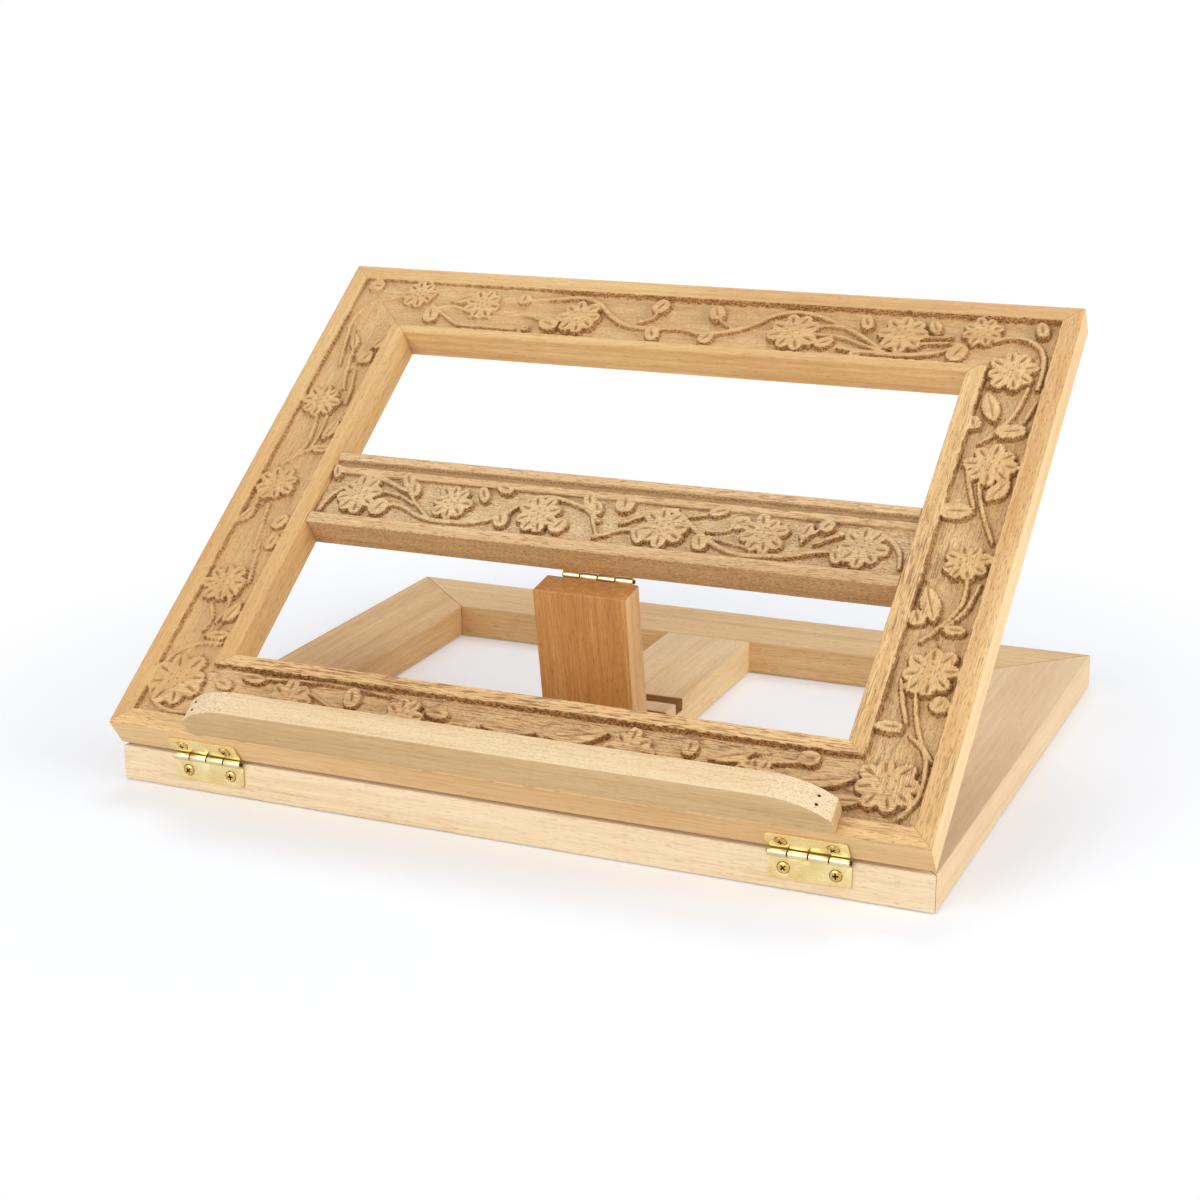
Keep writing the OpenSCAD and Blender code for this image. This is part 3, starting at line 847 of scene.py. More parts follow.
def carveFlower(panel, x, v, radius, turn):
    where = nearby(panel, x, v, radius + flowerCut["margin"])
    if not len(where):
        return
    dx, dv = panel["x"][where] - x, panel["v"][where] - v
    dice = np.random.default_rng(int(abs(x) * 31 + v))
    petals = []
    for k in range(flowerCut["petals"]):
        angle = math.radians(turn) + 2 * math.pi * k / flowerCut["petals"]
        angle += dice.uniform(-flowerCut["uneven"], flowerCut["uneven"])
        reach = radius * dice.uniform(*flowerCut["reach"])
        along = dx * math.cos(angle) + dv * math.sin(angle)
        side = dv * math.cos(angle) - dx * math.sin(angle)
        petals.append((along, side, reach))
    for along, side, reach in petals:
        halfLong, halfWide = flowerCut["halfLong"] * reach, flowerCut["halfWide"] * reach
        crown = flowerCut["top"] - flowerCut["sideFall"] * (side / halfWide) ** 2
        crown -= flowerCut["tipFall"] * np.clip(along / reach, 0, 1) ** 4
        out = along - flowerCut["middle"] * reach
        lift(panel, where, insideOval(out, side, halfLong, halfWide, flowerCut["blunt"]), crown)
    for along, side, reach in petals:
        out, halfLong = along - flowerCut["slitMiddle"] * reach, flowerCut["slitLong"] * reach
        inside = insideOval(out, side, halfLong, flowerCut["slitWide"])
        slit(panel, where, inside, flowerCut["slitDeep"])
    away = np.hypot(dx, dv)
    top = flowerCut["top"] + flowerCut["heartTop"] - flowerCut["heartFall"] * away**2
    lift(panel, where, flowerCut["heart"] * radius - away, top)
    for k in range(flowerCut["dots"] + 1):
        angle = math.radians(turn + flowerCut["dotTurn"]) + k * 2 * math.pi / flowerCut["dots"]
        away = flowerCut["dotRing"] * radius * (k < flowerCut["dots"])
        fromDot = np.hypot(dx - away * math.cos(angle), dv - away * math.sin(angle))
        slit(panel, where, flowerCut["dotR"] - fromDot, flowerCut["dotDeep"])


def turned(panel, where, x, v, direction):
    angle = math.radians(direction)
    dx, dv = panel["x"][where] - x, panel["v"][where] - v
    return dx * math.cos(angle) + dv * math.sin(angle), dv * math.cos(angle) - dx * math.sin(angle)


def carveBud(panel, x, v, length, width, direction):
    where = nearby(panel, x, v, length)
    if not len(where):
        return
    along, side = turned(panel, where, x, v, direction)
    inside = insideOval(along, side, length / 2, width / 2, budCut["blunt"])
    lift(panel, where, inside, budCut["top"] - budCut["fall"] * (side / width * 2) ** 2)
    out, halfLong = along - budCut["slitMiddle"] * length, budCut["slitLong"] * length
    slit(panel, where, insideOval(out, side, halfLong, budCut["slitWide"]), budCut["slitDeep"])


def carveLeaf(panel, x, v, length, width, direction):
    where = nearby(panel, x, v, length)
    if not len(where):
        return
    along, side = turned(panel, where, x, v, direction)
    share = np.clip(1 - (2 * along / length) ** 2, 0, 1)
    inside = width / 2 * share - abs(side) - leafCut["tip"] * (share <= 0)
    lift(panel, where, inside, leafCut["top"] - leafCut["fall"] * (abs(side) / width * 2) ** 1.5)
    inside = insideOval(along, side, leafCut["slitLong"] * length, leafCut["slitWide"])
    slit(panel, where, inside, leafCut["slitDeep"])


# A smooth run through the points, one spot every step millimetres or so.
def smoothRun(points, step=0.9):
    p = np.array([points[0], *points, points[-1]], float)
    run = []
    for a, b, c, d in zip(p, p[1:], p[2:], p[3:]):
        count = max(2, int(np.hypot(*(c - b)) / step))
        t = np.linspace(0, 1, count, endpoint=False)[:, None]
        bend = 2 * b + (c - a) * t + (2 * a - 5 * b + 4 * c - d) * t**2
        bend += (3 * b - a - 3 * c + d) * t**3
        run.append(bend / 2)
    return np.vstack([*run, p[-1]])


def carveVine(panel, half, points):
    run = smoothRun(points)
    low, high = run.min(0) - vineCut["margin"], run.max(0) + vineCut["margin"]
    x, v = panel["x"], panel["v"]
    where = np.nonzero((x > low[0]) & (x < high[0]) & (v > low[1]) & (v < high[1]))[0]
    if not len(where):
        return
    gap = np.full(len(where), np.inf)
    place = np.zeros(len(where))
    for i, (a, b) in enumerate(run):
        away = np.hypot(x[where] - a, v[where] - b)
        closer = away < gap
        gap[closer] = away[closer]
        place[closer] = i / len(run)
    wide = half * (vineCut["tip"] + vineCut["swell"] * np.sin(math.pi * place) ** 0.5)
    lift(panel, where, wide - gap, vineCut["top"] - vineCut["fall"] * (gap / half) ** 2)


# Dark heartwood patches, fading at their rims.
def heartwood(x, v):
    total = np.zeros_like(x)
    wander = cut["heartWander"] * ripple(x, v, "heart")
    for px, pv, halfLong, halfWide, strength in carving["heartwood"]:
        away = np.hypot((x - px) / halfLong, (v - pv) / halfWide) + wander
        total = np.maximum(total, strength * smooth(*cut["heartRim"], away))
    return total


# The share of the field's full depth that each spot has.
def swelling(x, v, kind):
    mean, swing = cut["swell"]
    return np.clip(mean + swing * ripple(x, v, kind), *cut["swellLimits"])


# The field between the bands, with a sharp step at each. It is shallower at the left, above
# all in the top corner. Each ground gives its height and how far a spot lies in the field.
def frameGround(x, v):
    wobble = cut["wobble"] * ripple(x, v, "wobble")
    fromSide = stand["wide"] / 2 - abs(x) + wobble
    fromEnd = np.minimum(v, stand["deep"] - v) + wobble
    inner = 0
    railBand = np.where(v < stand["deep"] / 2, *cut["railInnerBand"])
    for u, band in ((fromSide, cut["stileInnerBand"]), (fromEnd, railBand)):
        edge = stand["railWide"] - band
        inner = np.maximum(inner, 1 - smooth(edge - cut["wall"], edge + cut["innerLap"], u))
    rim = (cut["outerBand"] - cut["outerLap"], cut["outerBand"] + cut["wall"])
    field = inner * smooth(*rim, np.minimum(fromSide, fromEnd))
    cornerShare, cornerX, cornerV = cut["shallowCorner"]
    leftShare, leftX = cut["shallowLeft"]
    corner = cornerShare * (smooth(*cornerX, x) * smooth(*cornerV, v))
    shallow = np.maximum(corner, leftShare * smooth(*leftX, x))
    depth = cut["fieldDeep"] * (1 - shallow) * swelling(x, v, "swell")
    return -depth * field + cut["dimple"] * field * ripple(x, v, "dimple"), field


# The middle rail: a flat lower band, the field, then a fillet, a quirk and a bead on top.
def middleGround(x, u):
    rail, quirkDeep, filletDeep = stand["railWide"], moulding["quirkDeep"], moulding["filletDeep"]
    quirkAt = rail - moulding["bead"] - moulding["quirk"]
    filletAt = quirkAt - moulding["fillet"]
    field = smooth(*(moulding["band"] + rim for rim in moulding["bandRim"]), u)
    depth = -cut["fieldDeep"] * field * swelling(x, u, "middleSwell")
    depth += cut["dimple"] * field * ripple(x, u, "middleDimple")
    depth += (-filletDeep - depth) * smooth(*(filletAt + rim for rim in moulding["filletRim"]), u)
    quirk = smooth(quirkAt, quirkAt + moulding["quirkRun"], u)
    depth -= (quirkDeep - filletDeep) * quirk
    radius = moulding["bead"] / 2
    off = np.clip((u - rail + radius) / radius, -1, 1)
    bead = -radius + radius * np.sqrt(1 - off**2)
    moulded = np.where(u > rail - moulding["bead"], np.maximum(bead, -quirkDeep), depth)
    lower = field * (u < filletAt)
    upper = quirk * (u < rail - moulding["bead"] + moulding["beadWorked"])
    return moulded, np.maximum(np.maximum(lower, upper), 1.0 * (u < touch))


def carve(panel):
    for flower in carving["flowers"]:
        carveFlower(panel, *flower)
    for half, points in carving["vines"]:
        carveVine(panel, half, points)
    for leaf in carving["leaves"]:
        carveLeaf(panel, *leaf)
    for bud in carving["buds"]:
        carveBud(panel, *bud)


# How brown each spot of the grid is: steep walls are scorched, and those facing the reader, down
# the slope, are darker still as painted shade.
def wallScorchAndShade(x, v, height):
    (xj, xi), (vj, vi), (hj, hi) = np.gradient(x), np.gradient(v), np.gradient(height)
    area = xi * vj - xj * vi
    riseX, riseV = (hi * vj - hj * vi) / area, (hj * xi - hi * xj) / area
    steep = np.hypot(riseX, riseV)
    toReader = smooth(*cut["farRise"], riseV / np.maximum(steep, cut["flat"]))
    return smooth(*cut["scorchSlope"], steep) * (cut["farWall"] + (1 - cut["farWall"]) * toReader)


# The bead is scorched less than the walls, and the quirk beside it is darkened all along, as
# painted shade in the groove and scorching.
def mouldingScorchAndShade(scorchAndShade, across):
    pastEdge = across - (stand["railWide"] - moulding["bead"])
    inQuirk = smooth(0, moulding["quirkRim"], pastEdge + moulding["quirk"])
    inQuirk *= smooth(moulding["beadRim"], -moulding["beadRim"], pastEdge)
    scorchAndShade = scorchAndShade * (1 - moulding["beadClean"] * smooth(0, 1, pastEdge))
    return np.maximum(scorchAndShade, moulding["quirkShadeAndScorch"] * inQuirk)


def paint(mesh, mark, values, domain="POINT"):
    layer = mesh.attributes.new(mark, "FLOAT", domain)
    layer.data.foreach_set("value", np.asarray(values, np.float32))


# A grid in the outline of a board that lies along X, from its outer edge (y 0) to its inner
# edge. spread is 1 for mitred ends, 0 for square ones. order sorts the corners into rows.
def boardGrid(name, length, spread):
    clearSelection()
    rail = stand["railWide"]
    columns, rows = int((length - spread * rail) / gridStep), int(rail / gridStep)
    bpy.ops.mesh.primitive_grid_add(x_subdivisions=columns, y_subdivisions=rows, size=2)
    board = bpy.context.object
    board.name = board.data.name = name
    spots = np.zeros(len(board.data.vertices) * 3)
    board.data.vertices.foreach_get("co", spots)
    spots = spots.reshape(-1, 3)
    across = (spots[:, 1] + 1) / 2 * rail
    along = spots[:, 0] * (length / 2 - spread * across)
    order = np.lexsort((spots[:, 0], np.round(spots[:, 1], 5)))
    return board, along, across, order.reshape(rows + 1, columns + 1)


# A carved board; turn takes it from where boardGrid leaves it to its place in the frame.
def carvedBoard(name, length, spread, turn, acrossGrain):
    rail = stand["railWide"]
    board, along, across, order = boardGrid(name, length, spread)
    mesh = board.data
    place = np.array(turn)
    x = place[0, 0] * along + place[0, 1] * across + place[0, 3]
    v = place[1, 0] * along + place[1, 1] * across + place[1, 3]
    height, field = frameGround(x, v) if spread else middleGround(along, across)
    tear = cut["tear"][acrossGrain] * ripple(x, v, "tear")
    panel = {"x": x, "v": v, "height": height, "scorchAndShade": np.zeros(len(x)), "tear": tear}
    carve(panel)  # changes height and scorch in place
    walls = np.zeros(len(x))
    # walls scorched, and darkened as painted shade where they face the reader
    walls[order] = wallScorchAndShade(x[order], v[order], height[order])
    scorchAndShade = np.maximum(panel["scorchAndShade"], walls)
    if not spread:
        scorchAndShade = mouldingScorchAndShade(scorchAndShade, across)
    for u in (across, rail - across):
        near = np.clip(cut["arris"] - u, 0, cut["arris"])
        height -= cut["arris"] - np.sqrt(cut["arris"] ** 2 - near**2)
    ends = length / 2 - spread * across - abs(along)
    height -= cut["jointLine"] * (ends < touch)
    scorchAndShade = np.maximum(scorchAndShade, cut["jointScorch"] * smooth(*cut["jointRim"], ends))
    top = stand["boardThick"] + height
    mesh.vertices.foreach_set("co", np.stack([along, across, top], 1).ravel())
    raised = smooth(*cut["cleanTop"], height) * (across > touch)
    worked = field * (1 - cut["clean"] * raised)
    rough = cut["bandRough"] + (1 - cut["bandRough"]) * worked
    marks = {"scorchAndShade": scorchAndShade, "rough": rough, "heart": heartwood(x, v)}
    for mark, values in marks.items():
        paint(mesh, mark, values)
    closeBoard(board, spread, length)
    for mark in marks:
        layer = mesh.attributes[mark].data
        for corner in mesh.vertices:
            if corner.co.z < touch:
                layer[corner.index].value = 0
    mesh.transform(frameSpace @ turn)
    return board


# Pulls the rim of a carved face down to the board's back, with an eased lower arris.
def closeBoard(board, spread, length):
    rail, ease = stand["railWide"], cut["ease"]
    bpy.ops.object.mode_set(mode="EDIT")
    bpy.ops.mesh.select_mode(type="EDGE")
    bpy.ops.mesh.select_all(action="DESELECT")
    bpy.ops.mesh.select_non_manifold()
    for level in (ease, 0):
        bpy.ops.mesh.extrude_region_move()
        bpy.ops.object.mode_set(mode="OBJECT")
        for corner in board.data.vertices:
            if not corner.select:
                continue
            corner.co.z = level
            atEnd = abs(corner.co.x) > length / 2 - spread * corner.co.y - touch
            if level == 0 and (corner.co.y < touch or corner.co.y > rail - touch):
                inward = ease if corner.co.y < touch else -ease
                corner.co.y += inward
                corner.co.x -= math.copysign(inward, corner.co.x) * spread * atEnd
        bpy.ops.object.mode_set(mode="EDIT")
    bpy.ops.mesh.edge_face_add()
    bpy.ops.mesh.select_all(action="SELECT")
    bpy.ops.mesh.normals_make_consistent(inside=False)
    bpy.ops.object.mode_set(mode="OBJECT")


def addCube(name, size, centre):
    clearSelection()
    bpy.ops.mesh.primitive_cube_add(size=1, location=centre)
    piece = bpy.context.object
    piece.name = piece.data.name = name
    piece.scale = size
    bpy.ops.object.transform_apply(location=True, rotation=True, scale=True)
    return piece


# Leaves edit mode on, with only those edges selected whose two ends pass the test.
def pickEdges(piece, wanted):
    bpy.context.view_layer.objects.active = piece
    bpy.ops.object.mode_set(mode="EDIT")
    bpy.ops.mesh.select_mode(type="EDGE")
    bpy.ops.mesh.select_all(action="DESELECT")
    bpy.ops.object.mode_set(mode="OBJECT")
    for edge in piece.data.edges:
        a, b = (piece.data.vertices[i].co for i in edge.vertices)
        edge.select = bool(wanted(a, b))
    bpy.ops.object.mode_set(mode="EDIT")


def bevelPicked(width, segments):
    bpy.ops.mesh.bevel(offset=width, segments=segments, affect="EDGES")
    bpy.ops.object.mode_set(mode="OBJECT")


def easeEdges(piece, width, segments=3, angle=30):
    selectOnly(piece)
    bevel = piece.modifiers.new("eased edges", "BEVEL")
    bevel.width = width
    bevel.segments = segments
    bevel.limit_method = "ANGLE"
    bevel.angle_limit = math.radians(angle)
    bpy.ops.object.modifier_apply(modifier=bevel.name)


def smoothSides(piece, angle=35):
    selectOnly(piece)
    bpy.ops.object.shade_smooth_by_angle(angle=math.radians(angle))


def cutAway(piece, cutter):
    selectOnly(piece)
    hole = piece.modifiers.new("hole", "BOOLEAN")
    hole.object = cutter
    hole.operation = "DIFFERENCE"
    bpy.ops.object.modifier_apply(modifier=hole.name)
    bpy.data.objects.remove(cutter)


def addFinishes(piece, *names):
    for name in names:
        piece.data.materials.append(materials[name])


def dress(piece, material, body, slotName, *nodes):
    if not piece.data.materials:
        addFinishes(piece, material)
    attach(piece, body)
    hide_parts(*nodes)


def boardTurn(x, v, degrees):
    return Matrix.Translation((x, v, 0)) @ Matrix.Rotation(math.radians(degrees), 4, "Z")


wide, deep, rail, thick = stand["wide"], stand["deep"], stand["railWide"], stand["boardThick"]
middleV = strutPin.y + stand["middleGap"]
carvedBoards = {
    # name: length, mitred, place, whether walls below the motifs cross the grain, node
    "bottomRail": (wide, 1, boardTurn(0, 0, 0), 0, "frame_bottom_rail"),
    "topRail": (wide, 1, boardTurn(0, deep, 180), 0, "frame_top_rail"),
    "leftStile": (deep, 1, boardTurn(-wide / 2, deep / 2, -90), 1, "frame_left_stile"),
    "rightStile": (deep, 1, boardTurn(wide / 2, deep / 2, 90), 1, "frame_right_stile"),
    "middleRail": (wide - 2 * rail, 0, boardTurn(0, middleV, 0), 0, "frame_middle_rail"),
}
# sides that look unlike the rest of their board, and which way they face in the frame: the bottom
# rail's plain front, the middle rail's lower side darkened as painted shade, and the right stile's
# outer side paler as painted light
otherSides = {
    "bottomRail": ("bottomFront", (0, -1, 0)),
    "middleRail": ("middleShadedSide", (0, -1, 0)),
    "rightStile": ("rightLitSide", (1, 0, 0)),
}
sideDeep = 0.5  # mm; faces that look that way and lie further in aren't the side
for name, (length, spread, turn, acrossGrain, node) in carvedBoards.items():
    board = carvedBoard(name, length, spread, turn, acrossGrain)
    smoothSides(board, 40)
    if name in otherSides:
        finish, side = otherSides[name]
        side = (frameSpace.to_3x3() @ Vector(side)).normalized()
        addFinishes(board, name, finish)
        outermost = max(corner.co.dot(side) for corner in board.data.vertices)
        for face in board.data.polygons:
            atSide = face.center.dot(side) > outermost - sideDeep * mm
            face.material_index = int(atSide and face.normal.dot(side) > facing)
    dress(board, name, "book_frame", "carved_wood", node)
    print(name, "carved,", len(board.data.polygons), "faces")


ledge = {
    "endSquare": 8.5,  # height of the square part of each end
    "curveLong": 25,
    "steps": 14,
    "edge": 0.6,
    "bradHole": 1.3,
    "bradInset": 6,
    "bradSpacing": 4,
    "bradDeep": 1.2,
    "topFacing": 0.4,  # faces that look up more than this are its top
    "topRough": 0.4,  # torn fibres along its top, against those on its curved ends
}


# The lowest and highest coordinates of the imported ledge, in the book frame's space.
def ledgeSpan():
    inside = frameSpace.inverted()
    points = np.array([inside @ corner.co for corner in frame["nodes"]["book_ledge"].data.vertices])
    return Vector(points.min(0)), Vector(points.max(0))


# How high the top is, run mm out along the curve that each end comes down in.
def curveHeight(tall, run):
    drop = tall - ledge["endSquare"]
    radius = (ledge["curveLong"] ** 2 + drop**2) / (2 * drop)
    return tall - radius + math.sqrt(radius**2 - run**2)


# The ledge in elevation is drawn as a strip, then thickened and its edges eased.
def makeLedge():
    low, high = ledgeSpan()
    long, tall, deepness = high.x - low.x, high.z - low.z, high.y - low.y
    clearSelection()
    count = 2 * ledge["steps"] + 1
    bpy.ops.mesh.primitive_grid_add(x_subdivisions=count, y_subdivisions=1, size=2)
    piece = bpy.context.object
    piece.name = piece.data.name = "bookLedge"
    xs = sorted({round(corner.co.x, 5) for corner in piece.data.vertices})
    for corner in piece.data.vertices:
        i = xs.index(round(corner.co.x, 5))
        fromEnd = min(i, count - i)
        inset = ledge["curveLong"] * (1 - math.cos(fromEnd / ledge["steps"] * math.pi / 2))
        side = -1 if i < count / 2 else 1
        top = curveHeight(tall, ledge["curveLong"] - inset)
        corner.co = (side * (long / 2 - inset), 0, top if corner.co.y > 0 else 0)
    bpy.ops.object.mode_set(mode="EDIT")
    bpy.ops.mesh.select_all(action="SELECT")
    bpy.ops.mesh.extrude_region_move(TRANSFORM_OT_translate={"value": (0, deepness, 0)})
    bpy.ops.mesh.select_all(action="SELECT")
    bpy.ops.mesh.normals_make_consistent(inside=False)
    bpy.ops.object.mode_set(mode="OBJECT")
    easeEdges(piece, ledge["edge"])
    bradTop = curveHeight(tall, ledge["curveLong"] - ledge["bradInset"])
    for sx, sv in ((-1, -1), (-1, 1), (1, -1), (1, 1)):
        bradX = sx * (long / 2 - ledge["bradInset"])
        bradV = deepness / 2 + sv * ledge["bradSpacing"] / 2
        clearSelection()
        bpy.ops.mesh.primitive_cylinder_add(
            vertices=16,
            radius=ledge["bradHole"] / 2,
            depth=2 * ledge["bradDeep"],
            location=(bradX, bradV, bradTop),
        )
        cutAway(piece, bpy.context.object)
    # faces that look up take the paler top wood, which holds painted light
    addFinishes(piece, "ledge", "ledgeLitTop")
    rough = []
    for face in piece.data.polygons:
        onCurve = abs(face.center.x) > long / 2 - ledge["curveLong"]
        rough.append(1 if onCurve else ledge["topRough"])
        face.material_index = int(face.normal.z > ledge["topFacing"])
    paint(piece.data, "rough", rough, "FACE")
    middle = (low.x + high.x) / 2
    piece.data.transform(frameSpace @ Matrix.Translation((middle, low.y, low.z)))
    smoothSides(piece)
    dress(piece, "ledge", "book_frame", "carved_wood", "book_ledge")


makeLedge()
print("ledge ready")


base = {"arris": 0.7, "jointEdge": 0.2}


def fromMitre(point, length):
    return abs(abs(point.x) - (length / 2 - point.y))


# A mitred base board, made like the carved ones, along X from its outer edge.
def baseBoard(name, length, turn, wood, node):
    board = addCube(name, (length, rail, thick), (0, rail / 2, thick / 2))
    pickEdges(board, lambda a, b: a.y > rail / 2 and b.y > rail / 2)
    inner = (length - 2 * rail) / length
    bpy.ops.transform.resize(value=(inner, 1, 1), center_override=(0, 0, 0))
    bpy.ops.object.mode_set(mode="OBJECT")
    pickEdges(board, lambda a, b: abs(a.y - b.y) < touch and abs(a.z - b.z) < touch)
    bevelPicked(base["arris"], 3)
    pickEdges(board, lambda a, b: max(fromMitre(a, length), fromMitre(b, length)) < touch)
    bevelPicked(base["jointEdge"], 1)
    addFinishes(board, wood, "sawn")
    for face in board.data.polygons:
        face.material_index = int(fromMitre(face.center, length) < base["jointEdge"])
    board.data.transform(baseSpace @ turn)
    smoothSides(board)
    dress(board, wood, "base", "base_wood", node)


baseBoard("baseFrontBoard", wide, boardTurn(0, -deep / 2, 0), "baseFront", "base_front_rail")
baseBoard("baseRearBoard", wide, boardTurn(0, deep / 2, 180), "baseRear", "base_rear_rail")
baseBoard("baseLeftBoard", deep, boardTurn(-wide / 2, 0, -90), "baseLeft", "base_left_rail")
baseBoard("baseRightBoard", deep, boardTurn(wide / 2, 0, 90), "baseRight", "base_right_rail")


plank = {
    "grooveDeep": 6,
    "grooveWide": 9,
    "firstGroove": -42.59,
    "pitch": 20.75,
    "count": 3,
    "arris": 0.5,
    "sawOut": 2,  # the saw runs out this far at each side
    "topDeep": 0.1,  # faces this far below the top count as inside
}


def makePlank():
    low, high = extent("base_centre_plank")
    size, centre = high - low, (low + high) / 2
    piece = addCube("groovedPlank", size, centre)
    for i in range(plank["count"]):
        middle = plank["firstGroove"] + i * plank["pitch"] + plank["grooveWide"] / 2
        grooveSize = (size.x + 2 * plank["sawOut"], plank["grooveWide"], 2 * plank["grooveDeep"])
        cutAway(piece, addCube("saw", grooveSize, (0, middle, high.z)))
    easeEdges(piece, plank["arris"], segments=2)
    addFinishes(piece, "plank", "sawn")
    # the grooves' walls and floors take the dark sawn wood: end grain, and painted shade
    for face in piece.data.polygons:
        inside = centre.z < face.center.z < high.z - plank["arris"] - plank["topDeep"]
        face.material_index = int(inside and abs(face.center.x) < size.x / 2 - plank["arris"])
    piece.data.transform(baseSpace)
    smoothSides(piece)
    dress(piece, "plank", "base", "base_wood", "base_centre_plank")


makePlank()
print("base ready")


strut = {
    "wide": 44,
    "endGap": 0.2,  # half the gap at its hinged end
    "footThick": 2.5,
    "footCut": 18.5,  # length of the slanted cut in front
    "footTip": 45.0,  # v of the tip when folded
    "arris": 0.6,
}


def makeStrut():
    end = strutPin.y - strut["endGap"]
    lean = math.radians(stand["strutLean"])
    tip = strut["footTip"]
    toe = tip + strut["footThick"] * math.sin(lean)
    centre = (0, (end + tip) / 2, thick / 2)
    piece = addCube("strutBoard", (strut["wide"], end - tip, thick), centre)
    bpy.ops.object.mode_set(mode="EDIT")
    bpy.ops.mesh.select_all(action="SELECT")
    bpy.ops.mesh.bisect(plane_co=(0, toe + strut["footCut"], 0), plane_no=(0, 1, 0))
    bpy.ops.object.mode_set(mode="OBJECT")
    for corner in piece.data.vertices:
        if corner.co.y < tip + touch and corner.co.z > thick - touch:
            corner.co.y, corner.co.z = toe, strut["footThick"] * math.cos(lean)
    easeEdges(piece, strut["arris"], angle=25)
    addFinishes(piece, "strut", "strutEdge")
    # the sides take the paler wood; the rest keeps the darker one, with its painted shade
    for face in piece.data.polygons:
        face.material_index = int(abs(face.normal.x) > facing)
    piece.data.transform(strutSpace)
    smoothSides(piece)
    dress(piece, "strut", "strut", "strut_wood", "strut_board")


makeStrut()
print("strut ready")


hinge = {
    "long": 34,
    "reach": 11.2,
    "plate": 1.0,
    "arris": 0.14,
    "cornerR": 1.8,
    "knuckleD": 3.5,
    "knuckles": 4,
    "rollSteps": 20,
    "middleShare": 0.4,  # strips within this share of the pitch from its middle are rolled
    "paleReach": 0.1,  # the barrel's paler tone, a painted highlight, reaches this far past it
    "gap": 0.6,  # between two knuckles
    "clear": 0.25,  # from the barrel to the plate's edge
    "pinD": 1.7,
    "fit": 0.04,  # round the pin
    "rolled": 294,  # degrees that a knuckle goes round the pin
    "pinStand": 0.4,
    "pinArris": 0.22,
    "screwSpacing": 21.3,
    "screwReach": 6.6,
    "headD": 5.0,
    "headGap": 0.2,  # between a screw's head and its hole
    "headRise": 0.75,  # how far a head's dome stands above the leaf
    "headRim": 0.12,
    "shankD": 2.4,
    "screwLong": 10,
    "crossLong": 3.2,
    "crossWide": 0.8,
    "crossDeep": 1.3,
    "crossTaper": (0.55, 0.7),  # how the slots narrow down to their floor, in x and y
    "crossArris": 0.06,
    "crossTurn": (20, 25),  # degrees: of a pair's middle, and how far each differs from it
    "leafWeld": 0.0005,  # points closer than this are joined
    "screwWeld": 0.001,
}


# A leaf in its hinge's own space: the pin along X, the wood at y = axisOut, and the leaf
# standing up (side 1) or hanging down (side -1). Its knuckles are rolled round the pin.
def makeLeaf(name, side):
    half, edge = hinge["long"] / 2, hinge["knuckleD"] / 2 + hinge["clear"]
    outer = stand["axisOut"]
    height = hinge["reach"] - edge
    centre = (0, outer - hinge["plate"] / 2, edge + height / 2)
    piece = addCube(name, (hinge["long"], hinge["plate"], height), centre)
    top = hinge["reach"] - touch
    pickEdges(piece, lambda a, b: min(a.z, b.z) > top and abs(a.x - b.x) < touch)
    bevelPicked(hinge["cornerR"], 6)
    pitch = hinge["long"] / hinge["knuckles"]
    bpy.ops.object.mode_set(mode="EDIT")
    for k in range(hinge["knuckles"]):
        start, end = -half + k * pitch, -half + (k + 1) * pitch
        for x in (start + hinge["gap"] / 2, end - hinge["gap"] / 2):
            bpy.ops.mesh.select_all(action="SELECT")
            bpy.ops.mesh.bisect(plane_co=(x, 0, 0), plane_no=(1, 0, 0))
    bpy.ops.mesh.select_mode(type="FACE")
    bpy.ops.mesh.select_all(action="DESELECT")
    bpy.ops.object.mode_set(mode="OBJECT")
    for face in piece.data.polygons:
        slot = (face.center.x + half) / pitch
        ownKnuckle = int(slot) % 2 == 1 and abs(slot % 1 - 0.5) < hinge["middleShare"]
        face.select = face.center.z < edge + touch and ownKnuckle
    bpy.ops.object.mode_set(mode="EDIT")
    # the tongue runs on to the pin's height, then rolls nearly all the way round it
    barrel = hinge["knuckleD"] / 2
    thinner = (barrel - hinge["pinD"] / 2 - hinge["fit"]) / hinge["plate"]
    bpy.ops.mesh.extrude_region_move(TRANSFORM_OT_translate={"value": (0, barrel - outer, -edge)})
    bpy.ops.transform.resize(value=(1, thinner, 1), center_override=(0, barrel, 0))
    rolled = math.radians(hinge["rolled"])
    bpy.ops.mesh.spin(steps=hinge["rollSteps"], angle=rolled, center=(0, 0, 0), axis=(1, 0, 0))
    bpy.ops.mesh.select_all(action="SELECT")
    bpy.ops.mesh.remove_doubles(threshold=hinge["leafWeld"])
    bpy.ops.mesh.normals_make_consistent(inside=False)
    bpy.ops.object.mode_set(mode="OBJECT")
    for x in (-hinge["screwSpacing"] / 2, hinge["screwSpacing"] / 2):
        clearSelection()
        bpy.ops.mesh.primitive_cylinder_add(
            vertices=40,
            radius=hinge["headD"] / 2 + hinge["headGap"],
            depth=4 * hinge["plate"],
            location=(x, outer, hinge["screwReach"]),
            rotation=(math.pi / 2, 0, 0),
        )
        cutAway(piece, bpy.context.object)
    easeEdges(piece, hinge["arris"], segments=2, angle=40)
    addFinishes(piece, "brass", "barrelBrass")
    # the knuckles take the paler barrel brass, a painted highlight
    for face in piece.data.polygons:
        fromPin = math.hypot(face.center.y, face.center.z)
        face.material_index = int(fromPin < barrel + hinge["paleReach"])
    if side < 0:
        piece.data.transform(Matrix.Rotation(math.pi, 4, "Y"))
    smoothSides(piece, 40)
    return piece


